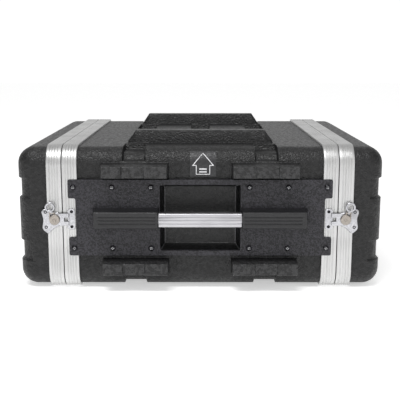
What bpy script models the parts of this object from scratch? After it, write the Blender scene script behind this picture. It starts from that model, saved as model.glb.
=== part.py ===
"""A four-unit moulded rack flight case with two lift-off lids, lying level.

Frame: metres, +Z up. The front lid is at -X and the rear lid at +X, the sides are at -Y and +Y.
The origin is at the middle of the box round the whole case, on the floor it stands on.
"""

import math

import bmesh
import bpy
from mathutils import Matrix, Vector

# ---- Driving dimensions --------------------------------------------------------------------------
CASE_LENGTH = 0.584          # over both lids, along X
VALANCE_WIDTH = 0.513        # over the metal edge bands, along Y
VALANCE_HEIGHT = 0.2335      # over the metal edge bands, along Z: the case stands on them
SIDE_REACH = 0.280           # how far handles and side blocks stand out from the middle
VALANCE_RISE = 0.004         # the bands stand this much proud of the moulded shell
WALL = 0.004                 # moulded shell
CORNER_R = 0.027             # every outer corner of the shell
GAP = 0.0003                 # between pieces that touch

BODY_END = 0.2163            # the shell of the body ends here, inside its band's lip
SPLIT = 0.2187               # the lids meet the body here
SPLIT_GAP = 0.0005           # half of the slot between a lid and the body
LID_START = 0.2214           # the shell of a lid starts here
BAND_WIDTH = 0.0238          # of each metal band, along X
BAND_LIP = 0.0050            # how far a band turns in over the end of the shell

SHELL_HALF_Y = VALANCE_WIDTH / 2 - VALANCE_RISE
SHELL_BOTTOM = VALANCE_RISE
SHELL_TOP = VALANCE_HEIGHT - VALANCE_RISE
SHELL_MID_Z = VALANCE_HEIGHT / 2
SHELL_HALF_Z = SHELL_MID_Z - SHELL_BOTTOM

# channels moulded into the top, and their short ends over the long edges
CHANNEL_X = 0.105            # the outer two channels; a third runs along the middle
CHANNEL_WIDTH = 0.0355
CHANNEL_DEPTH = 0.0095
CHANNEL_LEDGE_Z = 0.2080     # an edge channel ends here on the side,
CHANNEL_LEDGE_SLOPE = 0.12   # on a ledge that slopes this much
CHANNEL_EDGE_Y = 0.193       # and here on the top
CHANNEL_MID_Y = 0.155        # the channels between the bars end here
BOTTOM_CHANNEL_DEPTH = 0.005
BOTTOM_CHANNEL_Z = 0.0235

# stacking bars on the top, and the slots under the case that take another case's bars
BAR_Y = 0.169
BAR_DEPTH = 0.025
BAR_HEIGHT = 0.021
BAR_BASE_HALF = 0.1200
BAR_TOP_HALF = 0.1078
SLOT_DEPTH = 0.0145
SLOT_SPARE = 0.002           # round the bar of the case below

# blocks that the case rests on when it stands on its side
BLOCK_X0, BLOCK_X1 = 0.050, 0.1555
BLOCK_HEIGHT = 0.0235
BLOCK_Z = (0.0390, 0.1940)
BLOCK_DRAFT = 0.0025
BLOCK_DISH = 0.0012
MOULD_EDGE = 0.0015          # chamfer along the edges of bars and blocks

# side plate, its screws, and the hand cup behind the grip
PLATE_Z = 0.1187
PLATE_HALF_X = 0.2092
PLATE_HALF_Z = 0.0615
PLATE_INNER_X = 0.1937
PLATE_CORNER = 0.0030
PLATE_FACE = 0.2588
PLATE_EAR = 0.0020           # thickness where it laps over the bands
EAR_HEIGHT = 0.030
NOTCH_SET_OUT = 0.0038       # the notch between two ears starts this far beyond the rebate
SCREW_X = 0.2007
SCREW_Z = 0.0492
SCREW_R = 0.0020
SCREW_HEAD_R = 0.0046
SCREW_RIM, SCREW_HEAD_T = 0.0008, 0.0020
CUP_HALF_X, CUP_HALF_Z = 0.0638, 0.0531
CUP_BACK_Y = 0.2308
CUP_DRAFT = 0.0060
CUP_CORNER = 0.0028
CUP_WALL = 0.0022
CUP_FLANGE = 0.0100

# handle: two moulded housings, a ribbed sleeve between them and a steel bar through all three
HOUSING_X0, HOUSING_X1 = 0.0654, 0.1700
HOUSING_BASE, HOUSING_FACE = 0.0320, 0.0268
HOUSING_SOFT = 0.0030
HOUSING_RIB_MARGINS = (0.005, 0.008)     # its grooves stop this far from each end
SLEEVE_HALF_X = 0.0650
SLEEVE_HEIGHT = 0.0222
SLEEVE_BACK_Y, SLEEVE_FACE_Y = 0.2640, 0.2794
SLEEVE_SOFT = 0.0022
RIB_PITCH, RIB_COUNT = 0.0053, 3
RIB_HALF, RIB_DEPTH = 0.0007, 0.0008
CORE_HALF_X, CORE_Y = 0.0800, 0.2715
CORE_DEPTH, CORE_HEIGHT = 0.0080, 0.0120

# rack rails: 19-inch, four units high
RACK_UNIT = 0.04445
RACK_UNITS = 4
RAIL_HOLE_HALF_Y = 0.2325
RAIL_FACE_X = 0.1880
RAIL_OPEN_HALF_Y = 0.2255
RAIL_HOLE = 0.0095
RAIL_STEEL = 0.0020
RAIL_OUTER_X = 0.2130
RAIL_SPARE = 0.001           # past each end of the four units
RAIL_HOLE_STEPS = (0.00635, 0.022225, 0.0381)    # hole centres up from the foot of each unit

# twist latches, one layer over another from the band's face outwards
LATCH_Z = 0.1165
LATCH_PLATE_T = 0.0015
LATCH_SEAT = VALANCE_WIDTH / 2 + GAP
LATCH_TOP = LATCH_SEAT + LATCH_PLATE_T
LATCH_LOBES = ((0.0085, 0.0085), (-0.0050, 0.0120), (-0.0165, 0.0165), (-0.0215, 0.0120),
               (-0.0190, 0.0000), (-0.0205, -0.0145), (-0.0155, -0.0210), (-0.0105, -0.0230),
               (-0.0020, -0.0150), (0.0085, -0.0085))       # inwards and up from the knob's axis
LATCH_RIVETS = ((0.0150, 0.0115), (0.0145, -0.0130))        # outwards and up from the knob's axis
RIVET_R = 0.0018
RIDGE_TOP = LATCH_TOP + 0.0008
CLAW_UNDER = RIDGE_TOP + GAP
CLAW_OVER = CLAW_UNDER + 0.0018
CLAW_REACH_X = 0.2085
CLAW_HALF_Z = 0.0100
CLAW_FORK_HALF, CLAW_FORK_DEPTH = 0.0030, 0.0070
CLAW_TRAVEL = 0.0041
KEEPER_X0, KEEPER_X1 = 0.1985, 0.2105
KEEPER_HALF_Z = 0.0168
KEEPER_CORNER = 0.0035
KEEPER_RIVET_IN, KEEPER_RIVET_Z = 0.0055, 0.0121
RIDGE_INSETS = (0.0030, 0.0008)          # the keeper's ridge, in from its edge beside the gap
WING_UNDER = CLAW_OVER + 0.0009
WING_T = 0.0020
KNOB_X = 0.2305
KNOB_R = 0.0083
KNOB_PIN_R = 0.0030
KNOB_TOP = WING_UNDER + WING_T + 0.0006
KNOB_CHAMFER = 0.0008
EAR_T = 0.0014               # of the knob's two ears beside the wing's tail
WING_X = KNOB_X + 0.0040
WING_HINGE_Z = LATCH_Z + 0.0106
WING_R, WING_HOLE_R = 0.0082, 0.0046
WING_RISE = 0.0096           # from the hinge up to the middle of the ring
WING_LEAN = 0.0030           # the ring's middle lies this far outwards of its tail
WING_TAIL = 0.0025
WING_TAIL_DROP = 0.0012
WING_TAIL_UP = 0.0017        # the tail is straight up to here, clear of the knob's ears

# grooves round the end of each lid
LID_GROOVE_Z = (0.0630, 0.1645)
LID_GROOVE_HALF = 0.0160
LID_GROOVE_DEPTH = 0.0040
LID_GROOVE_X = 0.2700        # they run from here round the end

# arrow label on the right side's upper edge
LABEL_X = 0.0045
LABEL_WIDTH = 0.041
LABEL_BOTTOM = 0.1840
LABEL_SWEEP = math.radians(51)
LABEL_FILM = (0.0002, 0.0006)    # its two faces, above the shell

# how far the helpers that cut reach
CLEAR_OF = 0.010                 # well past the face they cut
FAR_X = 0.25                     # past both ends of the body
SHELL_HOLES = (0.240, 0.260)     # through the wall
OUTER_HOLES = (0.240, 0.270)     # through the band or the plate

ENDS = {"front": -1, "rear": 1}
SIDES = {"right": -1, "left": 1}
NO_ROUND = 0.0
world_place = {}                 # where each frame's origin lies


# ---- Materials -----------------------------------------------------------------------------------
def material(name, colour, roughness, metallic=0.0):
    made = bpy.data.materials.new(name)
    made.use_nodes = True
    made.diffuse_color = (*colour, 1.0)
    shader = made.node_tree.nodes["Principled BSDF"]
    shader.inputs["Base Color"].default_value = (*colour, 1.0)
    shader.inputs["Roughness"].default_value = roughness
    shader.inputs["Metallic"].default_value = metallic
    return made


# ---- Building blocks -----------------------------------------------------------------------------
def rounded(half_u, half_v, radius, steps=5, centre=(0.0, 0.0)):
    """Corner points of a rounded rectangle, anticlockwise."""
    if radius <= NO_ROUND:
        corners = [(half_u, half_v), (-half_u, half_v), (-half_u, -half_v), (half_u, -half_v)]
        return [(centre[0] + u, centre[1] + v) for u, v in corners]
    points = []
    for quarter, (su, sv) in enumerate(((1, 1), (-1, 1), (-1, -1), (1, -1))):
        for step in range(steps + 1):
            angle = math.pi / 2 * (quarter + step / steps)
            points.append((centre[0] + su * (half_u - radius) + radius * math.cos(angle),
                           centre[1] + sv * (half_v - radius) + radius * math.sin(angle)))
    return points


def circle(radius, sides, centre=(0.0, 0.0)):
    return [(centre[0] + radius * math.cos(math.tau * i / sides),
             centre[1] + radius * math.sin(math.tau * i / sides)) for i in range(sides)]


def on_x(outline, x):
    return [Vector((x, u, v)) for u, v in outline]


def on_y(outline, y):
    return [Vector((u, y, v)) for u, v in outline]


def on_z(outline, z):
    return [Vector((u, v, z)) for u, v in outline]


def add_object(name, shape):
    mesh = bpy.data.meshes.new(name)
    bmesh.ops.recalc_face_normals(shape, faces=shape.faces)
    shape.to_mesh(mesh)
    shape.free()
    made = bpy.data.objects.new(name, mesh)
    bpy.context.scene.collection.objects.link(made)
    return made


def add_loft(shape, rings, ring_shaped=False):
    """Skins rings of points one after another, then caps the two ends or closes the last onto the first."""
    rows = [[shape.verts.new(point) for point in ring] for ring in rings]
    count = len(rows[0])
    pairs = list(zip(rows, rows[1:]))
    if ring_shaped:
        pairs.append((rows[-1], rows[0]))
    for below, above in pairs:
        for i in range(count):
            j = (i + 1) % count
            shape.faces.new((below[i], below[j], above[j], above[i]))
    if not ring_shaped:
        shape.faces.new(rows[0])
        shape.faces.new(rows[-1])


def loft(name, rings, ring_shaped=False):
    shape = bmesh.new()
    add_loft(shape, rings, ring_shaped)
    return add_object(name, shape)


def box_rings(x0, x1, y0, y1, z0, z1):
    corners = [(x0, y0), (x1, y0), (x1, y1), (x0, y1)]
    return [on_z(corners, z0), on_z(corners, z1)]


def boxes(name, spans):
    """One object that holds a box for each (x0, x1, y0, y1, z0, z1)."""
    shape = bmesh.new()
    for span in spans:
        add_loft(shape, box_rings(*span))
    return add_object(name, shape)


def rounded_box(name, half_x, inset):
    """The whole case's outer form, shrunk by inset, with every edge rounded."""
    shape = bmesh.new()
    bmesh.ops.create_cube(shape, size=2.0)
    size = (half_x - inset, SHELL_HALF_Y - inset, SHELL_HALF_Z - inset)
    bmesh.ops.scale(shape, vec=size, verts=shape.verts)
    bmesh.ops.bevel(shape, geom=shape.edges[:], offset=CORNER_R - inset, offset_type="OFFSET",
                    segments=5, profile=0.5, affect="EDGES", clamp_overlap=False)
    bmesh.ops.translate(shape, vec=(0, 0, SHELL_MID_Z), verts=shape.verts)
    return add_object(name, shape)


def keep_beyond(obj, x, end):
    """Cuts the object at this x, keeps the part that lies towards its end of the case, and closes it."""
    shape = bmesh.new()
    shape.from_mesh(obj.data)
    everything = shape.verts[:] + shape.edges[:] + shape.faces[:]
    cut = bmesh.ops.bisect_plane(shape, geom=everything, plane_co=(end * x, 0, 0),
                                 plane_no=(end, 0, 0), clear_inner=True)
    rim = [item for item in cut["geom_cut"] if isinstance(item, bmesh.types.BMEdge)]
    bmesh.ops.contextual_create(shape, geom=rim)
    bmesh.ops.recalc_face_normals(shape, faces=shape.faces)
    shape.to_mesh(obj.data)
    shape.free()
    return obj


def helper(obj):
    obj.hide_render = True
    obj.display_type = "WIRE"
    return obj


def combine(obj, other, operation):
    """Leaves a Boolean with the helper on the object."""
    helper(other)
    modifier = obj.modifiers.new(other.name, "BOOLEAN")
    modifier.operation = operation
    modifier.solver = "EXACT"
    modifier.object = other
    return obj


def cut(obj, other):
    return combine(obj, other, "DIFFERENCE")


def join(obj, other):
    return combine(obj, other, "UNION")


def round_edges(obj):
    modifier = obj.modifiers.new("soft edges", "BEVEL")
    modifier.width = MOULD_EDGE
    modifier.segments = 1
    modifier.limit_method = "ANGLE"
    modifier.angle_limit = math.radians(40)
    return obj


def finish(obj, slot, origin=(0, 0, 0), parent=None):
    """Gives a piece its material, puts its origin on its joint's axis and hangs it on its frame."""
    origin = Vector(origin)
    obj.data.transform(Matrix.Translation(-origin))
    obj.location = origin
    if parent is not None:
        obj.parent = parent
        obj.location = origin - world_place[parent.name]
    obj.data.materials.append(slot)
    obj.data.shade_smooth()
    obj.data.set_sharp_from_angle(angle=math.radians(35))
    return obj


def frame(name, place, parent=None):
    """An empty on a joint's axis."""
    empty = bpy.data.objects.new(name, None)
    bpy.context.scene.collection.objects.link(empty)
    empty.empty_display_size = 0.02
    world_place[name] = Vector(place)
    empty.location = place
    if parent is not None:
        empty.parent = parent
        empty.location = Vector(place) - world_place[parent.name]
    return empty


# ---- Body shell ----------------------------------------------------------------------------------
def shell_outline(inset):
    return rounded(SHELL_HALF_Y - inset, SHELL_HALF_Z - inset, CORNER_R - inset,
                   centre=(0.0, SHELL_MID_Z))


def channel_spans(grow):
    """The long channels between the bars, each grown by the wall where the inside has to clear them."""
    half = CHANNEL_WIDTH / 2 + grow
    reach = CHANNEL_MID_Y + grow
    floor = SHELL_TOP - CHANNEL_DEPTH - grow
    return [(x - half, x + half, -reach, reach, floor, SHELL_TOP + CLEAR_OF)
            for x in (-CHANNEL_X, 0.0, CHANNEL_X)]


def edge_channel(name, grow):
    """Four channel ends over the long top edges: they follow the rounded edge and stop at a sloping ledge."""
    half = CHANNEL_WIDTH / 2 + grow
    inner = CHANNEL_EDGE_Y - grow
    outer = SHELL_HALF_Y + CLEAR_OF
    shape = bmesh.new()
    for side in SIDES.values():
        for x in (-CHANNEL_X, CHANNEL_X):
            ledge = CHANNEL_LEDGE_Z - grow
            deep = SHELL_HALF_Y - CHANNEL_DEPTH - grow
            section = [(side * outer, ledge - CHANNEL_LEDGE_SLOPE * (outer - SHELL_HALF_Y)),
                       (side * outer, SHELL_TOP + CLEAR_OF),
                       (side * inner, SHELL_TOP + CLEAR_OF),
                       (side * inner, ledge + CHANNEL_LEDGE_SLOPE * (SHELL_HALF_Y - deep)),
                       (side * deep, ledge + CHANNEL_LEDGE_SLOPE * (SHELL_HALF_Y - deep))]
            add_loft(shape, [on_x(section, x - half), on_x(section, x + half)])
    channel = add_object(name, shape)
    kept = loft(name + "_kept", [on_x(shell_outline(CHANNEL_DEPTH + grow), x) for x in (-FAR_X, FAR_X)])
    return cut(channel, kept)


def bottom_channel(name, grow):
    """The same four channel ends over the long bottom edges, shallower."""
    half = CHANNEL_WIDTH / 2 + grow
    spans = []
    for side in SIDES.values():
        ys = sorted((side * (CHANNEL_EDGE_Y - grow), side * (SHELL_HALF_Y + CLEAR_OF)))
        for x in (-CHANNEL_X, CHANNEL_X):
            spans.append((x - half, x + half, *ys, -CLEAR_OF, BOTTOM_CHANNEL_Z + grow))
    channel = boxes(name, spans)
    kept = loft(name + "_kept",
                [on_x(shell_outline(BOTTOM_CHANNEL_DEPTH + grow), x) for x in (-FAR_X, FAR_X)])
    return cut(channel, kept)


def bar_rings(side, shrink, drop):
    """A stacking bar with sloped ends. shrink is the wall when this is the hollow inside it."""
    y0 = side * BAR_Y - BAR_DEPTH / 2 + shrink
    y1 = side * BAR_Y + BAR_DEPTH / 2 - shrink
    slope = (BAR_BASE_HALF - BAR_TOP_HALF) / BAR_HEIGHT
    rings = []
    for z in (SHELL_TOP - drop, SHELL_TOP + BAR_HEIGHT - shrink):
        half = BAR_BASE_HALF - slope * (z - SHELL_TOP) - shrink
        rings.append(on_z([(-half, y0), (half, y0), (half, y1), (-half, y1)], z))
    return rings


def slot_spans(grow):
    """Slots under the case for the bars of the case below."""
    half_y = BAR_DEPTH / 2 + SLOT_SPARE + grow
    half_x = BAR_BASE_HALF + SLOT_SPARE + grow
    top = SHELL_BOTTOM + SLOT_DEPTH + grow
    return [(-half_x, half_x, side * BAR_Y - half_y, side * BAR_Y + half_y, -CLEAR_OF, top)
            for side in SIDES.values()]


def block_rings(end, side, z, shrink, root):
    """A side block: its root lies in the wall, and its face stands at the case's full width."""
    half_root = BLOCK_HEIGHT / 2 - shrink
    half_face = half_root - BLOCK_DRAFT
    mid_x = end * (BLOCK_X0 + BLOCK_X1) / 2
    half_x = (BLOCK_X1 - BLOCK_X0) / 2 - shrink
    face = on_y(rounded(half_x - BLOCK_DRAFT / 2, half_face, NO_ROUND, centre=(mid_x, z)),
                side * (SIDE_REACH - shrink))
    return [on_y(rounded(half_x, half_root, NO_ROUND, centre=(mid_x, z)), side * root), face]


def blocks(name, shrink, root):
    shape = bmesh.new()
    for side in SIDES.values():
        for end in ENDS.values():
            for z in BLOCK_Z:
                add_loft(shape, block_rings(end, side, z, shrink, root))
    return add_object(name, shape)


def block_dishes():
    """Shallow dishes across the block faces, in line with the channels."""
    half = CHANNEL_WIDTH / 2
    spans = []
    for side in SIDES.values():
        ys = sorted((side * (SIDE_REACH - BLOCK_DISH), side * (SIDE_REACH + CLEAR_OF)))
        for x in (-CHANNEL_X, CHANNEL_X):
            for z in BLOCK_Z:
                spans.append((x - half, x + half, *ys, z - BLOCK_HEIGHT, z + BLOCK_HEIGHT))
    return boxes("block_dishes", spans)


def body_shell(slot):
    shell = loft("body_shell", [on_x(shell_outline(0.0), x) for x in (-BODY_END, BODY_END)])
    cut(shell, boxes("top_channels", channel_spans(0.0)))
    cut(shell, edge_channel("edge_channels", 0.0))
    cut(shell, bottom_channel("bottom_channels", 0.0))
    cut(shell, boxes("stacking_slots", slot_spans(0.0)))
    bars = bmesh.new()
    for side in SIDES.values():
        add_loft(bars, bar_rings(side, 0.0, WALL / 2))
    join(shell, round_edges(add_object("stacking_bars", bars)))
    join(shell, round_edges(blocks("side_blocks", 0.0, SHELL_HALF_Y - WALL * 0.75)))
    cut(shell, block_dishes())

    room = loft("body_room", [on_x(shell_outline(WALL), x) for x in (-FAR_X, FAR_X)])
    cut(room, boxes("top_channels_in", channel_spans(WALL)))
    cut(room, edge_channel("edge_channels_in", WALL))
    cut(room, bottom_channel("bottom_channels_in", WALL))
    cut(room, boxes("stacking_slots_in", slot_spans(WALL)))
    hollows = bmesh.new()
    for side in SIDES.values():
        add_loft(hollows, bar_rings(side, WALL, WALL * 1.5))
    join(room, add_object("bar_hollows", hollows))
    join(room, blocks("block_hollows", WALL, SHELL_HALF_Y - WALL * 1.5))
    cut(shell, room)

    openings = bmesh.new()
    for side in SIDES.values():
        hole = rounded(CUP_HALF_X + CUP_WALL + GAP, CUP_HALF_Z + CUP_WALL + GAP, CUP_CORNER, 3,
                       centre=(0.0, PLATE_Z))
        add_loft(openings, [on_y(hole, side * (SHELL_HALF_Y - 2 * CLEAR_OF)),
                            on_y(hole, side * (SIDE_REACH + CLEAR_OF))])
    cut(shell, add_object("cup_openings", openings))
    cut(shell, screw_holes("shell_screw_holes", *SHELL_HOLES))
    return finish(shell, slot)


def screw_places():
    for side_name, side in SIDES.items():
        for end_name, end in ENDS.items():
            for row_name, row in (("upper", 1), ("lower", -1)):
                yield f"{end_name}_{side_name}_{row_name}", end, side, PLATE_Z + row * SCREW_Z


def screw_holes(name, y0, y1):
    shape = bmesh.new()
    for _, end, side, z in screw_places():
        hole = circle(SCREW_R + GAP, 8, (end * SCREW_X, z))
        add_loft(shape, [on_y(hole, side * y0), on_y(hole, side * y1)])
    return add_object(name, shape)


# ---- Metal edge bands ----------------------------------------------------------------------------
def band_ring(name, profile):
    """A band bent round the case: each profile point is an x and a height above the shell."""
    rings = []
    for x, rise in profile:
        rings.append(on_x(shell_outline(-rise), x))
    return loft(name, rings, ring_shaped=True)


def body_valance(end_name, slot):
    end = ENDS[end_name]
    meet = SPLIT - SPLIT_GAP
    back = meet - BAND_WIDTH
    lip = BODY_END + GAP / 2
    profile = [(end * back, GAP), (end * back, VALANCE_RISE), (end * meet, VALANCE_RISE),
               (end * meet, -BAND_LIP), (end * lip, -BAND_LIP), (end * lip, GAP)]
    band = band_ring(f"{end_name}_body_valance", profile)
    cut(band, screw_holes(f"{end_name}_body_valance_holes", *OUTER_HOLES))
    return finish(band, slot)


def lid_valance(end_name, slot, parent):
    end = ENDS[end_name]
    meet = SPLIT + SPLIT_GAP
    back = meet + BAND_WIDTH
    lip = LID_START - GAP
    profile = [(end * back, GAP), (end * back, VALANCE_RISE), (end * meet, VALANCE_RISE),
               (end * meet, -BAND_LIP), (end * lip, -BAND_LIP), (end * lip, GAP)]
    band = band_ring(f"{end_name}_lid_valance", profile)
    return finish(band, slot, (end * SPLIT, 0, SHELL_MID_Z), parent)


# ---- Lids ----------------------------------------------------------------------------------------
def groove_bodies(end_name, tag, grow, inset):
    """Two bands round the lid's end, with the case's form, shrunk by inset, left out of their middle."""
    end = ENDS[end_name]
    xs = sorted((end * (LID_GROOVE_X - grow), end * (CASE_LENGTH / 2 + CLEAR_OF)))
    half = LID_GROOVE_HALF + grow
    spans = [(*xs, -SIDE_REACH, SIDE_REACH, z - half, z + half) for z in LID_GROOVE_Z]
    grooves = boxes(f"{end_name}_{tag}", spans)
    return cut(grooves, rounded_box(f"{end_name}_{tag}_kept", CASE_LENGTH / 2, inset))


def lid_shell(end_name, slot, parent):
    end = ENDS[end_name]
    lid = keep_beyond(rounded_box(f"{end_name}_lid_shell", CASE_LENGTH / 2, 0.0), LID_START, end)
    cut(lid, groove_bodies(end_name, "grooves", 0.0, LID_GROOVE_DEPTH))
    room = keep_beyond(rounded_box(f"{end_name}_lid_room", CASE_LENGTH / 2, WALL),
                       LID_START - CLEAR_OF, end)
    cut(room, groove_bodies(end_name, "grooves_in", WALL, LID_GROOVE_DEPTH + WALL))
    cut(lid, room)
    return finish(lid, slot, (end * SPLIT, 0, SHELL_MID_Z), parent)


# ---- Side plate, hand cup and handle -------------------------------------------------------------
def side_plate(side_name, slot):
    side = SIDES[side_name]
    back = SHELL_HALF_Y + GAP
    outline = rounded(PLATE_HALF_X, PLATE_HALF_Z, PLATE_CORNER, 2, centre=(0.0, PLATE_Z))
    plate = loft(f"{side_name}_side_plate", [on_y(outline, side * back), on_y(outline, side * PLATE_FACE)])
    ear_back = PLATE_FACE - PLATE_EAR
    under, beside = [], []
    deep = sorted((side * (back - CLEAR_OF), side * ear_back))
    through = sorted((side * (back - CLEAR_OF), side * (PLATE_FACE + CLEAR_OF)))
    notch_half = PLATE_HALF_Z - EAR_HEIGHT
    for end in ENDS.values():
        xs = sorted((end * PLATE_INNER_X, end * (PLATE_HALF_X + CLEAR_OF)))
        under.append((*xs, *deep, PLATE_Z - PLATE_HALF_Z - CLEAR_OF, PLATE_Z + PLATE_HALF_Z + CLEAR_OF))
        beside_x = sorted((end * (PLATE_INNER_X + NOTCH_SET_OUT), end * (PLATE_HALF_X + CLEAR_OF)))
        beside.append((*beside_x, *through, PLATE_Z - notch_half, PLATE_Z + notch_half))
    cut(plate, boxes(f"{side_name}_plate_rebates", under))
    cut(plate, boxes(f"{side_name}_plate_notches", beside))
    hole = rounded(CUP_HALF_X, CUP_HALF_Z, CUP_CORNER, 3, centre=(0.0, PLATE_Z))
    cut(plate, loft(f"{side_name}_plate_opening", [on_y(hole, side * y) for y in OUTER_HOLES]))
    cut(plate, screw_holes(f"{side_name}_plate_holes", *OUTER_HOLES))
    return finish(plate, slot)


def hand_cup(side_name, slot):
    """A tray with sloping walls, and a flange that lies against the inside of the case's wall."""
    side = SIDES[side_name]
    mouth_y = SHELL_HALF_Y
    flange_y = SHELL_HALF_Y - WALL - GAP

    def cup_outline(grow):
        return rounded(CUP_HALF_X + grow, CUP_HALF_Z + grow, CUP_CORNER, 3, centre=(0.0, PLATE_Z))

    back_grow = -CUP_DRAFT
    cup = loft(f"{side_name}_hand_cup",
               [on_y(cup_outline(CUP_WALL), side * mouth_y),
                on_y(cup_outline(CUP_WALL), side * flange_y),
                on_y(cup_outline(CUP_FLANGE), side * flange_y),
                on_y(cup_outline(CUP_FLANGE), side * (flange_y - CUP_WALL)),
                on_y(cup_outline(CUP_WALL), side * (flange_y - CUP_WALL)),
                on_y(cup_outline(back_grow + CUP_WALL), side * (CUP_BACK_Y - CUP_WALL))])
    hollow = loft(f"{side_name}_cup_hollow",
                  [on_y(cup_outline(0.0), side * (mouth_y + CLEAR_OF)),
                   on_y(cup_outline(0.0), side * mouth_y),
                   on_y(cup_outline(back_grow), side * CUP_BACK_Y)])
    cut(cup, hollow)
    return finish(cup, slot)


def rib_levels():
    """Heights of the fine grooves along the handle's face."""
    return [PLATE_Z + (i - (RIB_COUNT - 1) / 2) * RIB_PITCH for i in range(RIB_COUNT)]


def handle_housing(end_name, side_name, slot):
    """A moulded end of the handle, with three fine grooves along its face and a pocket for the bar."""
    end, side = ENDS[end_name], SIDES[side_name]
    mid_x = end * (HOUSING_X0 + HOUSING_X1) / 2
    half_x = (HOUSING_X1 - HOUSING_X0) / 2
    base = PLATE_FACE + GAP

    def ring(grow_x, height, y):
        return on_y(rounded(half_x + grow_x, height / 2, HOUSING_SOFT, 2, centre=(mid_x, PLATE_Z)), side * y)

    housing = loft(f"{end_name}_{side_name}_handle_housing",
                   [ring(0.0, HOUSING_BASE, base), ring(0.0, HOUSING_FACE + 0.001, SIDE_REACH - 0.002),
                    ring(-0.001, HOUSING_FACE - 0.001, SIDE_REACH)])
    spans = []
    grooves = sorted((side * (SIDE_REACH - RIB_DEPTH), side * (SIDE_REACH + CLEAR_OF)))
    inner, outer = HOUSING_RIB_MARGINS
    groove_x = sorted((end * (HOUSING_X0 + inner), end * (HOUSING_X1 - outer)))
    for z in rib_levels():
        spans.append((*groove_x, *grooves, z - RIB_HALF, z + RIB_HALF))
    pocket_x = sorted((end * (HOUSING_X0 - CLEAR_OF), end * (CORE_HALF_X + GAP)))
    pocket_y = sorted((side * (CORE_Y - CORE_DEPTH / 2 - GAP), side * (CORE_Y + CORE_DEPTH / 2 + GAP)))
    spans.append((*pocket_x, *pocket_y, PLATE_Z - CORE_HEIGHT / 2 - GAP, PLATE_Z + CORE_HEIGHT / 2 + GAP))
    cut(housing, boxes(f"{end_name}_{side_name}_housing_cuts", spans))
    return finish(housing, slot)


def grip_core(side_name, slot):
    side = SIDES[side_name]
    outline = rounded(CORE_DEPTH / 2, CORE_HEIGHT / 2, NO_ROUND, centre=(side * CORE_Y, PLATE_Z))
    core = loft(f"{side_name}_grip_core", [on_x(outline, x) for x in (-CORE_HALF_X, CORE_HALF_X)])
    return finish(core, slot)


def grip_sleeve(side_name, slot):
    """A tube round the steel bar, with three fine grooves along its face."""
    side = SIDES[side_name]
    front = SLEEVE_FACE_Y
    mid = (SLEEVE_BACK_Y + front) / 2
    half_depth = (front - SLEEVE_BACK_Y) / 2
    outline = rounded(half_depth, SLEEVE_HEIGHT / 2, SLEEVE_SOFT, 3, centre=(side * mid, PLATE_Z))
    sleeve = loft(f"{side_name}_grip_sleeve", [on_x(outline, x) for x in (-SLEEVE_HALF_X, SLEEVE_HALF_X)])
    groove_y = sorted((side * (front - RIB_DEPTH), side * (front + CLEAR_OF)))
    bore_y = sorted((side * (CORE_Y - CORE_DEPTH / 2 - GAP), side * (CORE_Y + CORE_DEPTH / 2 + GAP)))
    through = (-SLEEVE_HALF_X - CLEAR_OF, SLEEVE_HALF_X + CLEAR_OF)
    spans = [(*through, *bore_y, PLATE_Z - CORE_HEIGHT / 2 - GAP, PLATE_Z + CORE_HEIGHT / 2 + GAP)]
    for z in rib_levels():
        spans.append((*through, *groove_y, z - RIB_HALF, z + RIB_HALF))
    cut(sleeve, boxes(f"{side_name}_sleeve_cuts", spans))
    return finish(sleeve, slot)


def corner_screw(label, end, side, z, slot):
    """A pan head on the plate's ear, with its shank through the band and the wall into the rail."""
    centre = (end * SCREW_X, z)
    seat = PLATE_FACE + GAP
    screw = loft(f"{label}_screw",
                 [on_y(circle(SCREW_R, 8, centre), side * (SHELL_HALF_Y - WALL - GAP - RAIL_STEEL)),
                  on_y(circle(SCREW_R, 8, centre), side * seat),
                  on_y(circle(SCREW_HEAD_R, 8, centre), side * seat),
                  on_y(circle(SCREW_HEAD_R, 8, centre), side * (seat + SCREW_RIM)),
                  on_y(circle(SCREW_HEAD_R * 0.6, 8, centre), side * (seat + SCREW_HEAD_T))])
    return finish(screw, slot)


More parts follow.
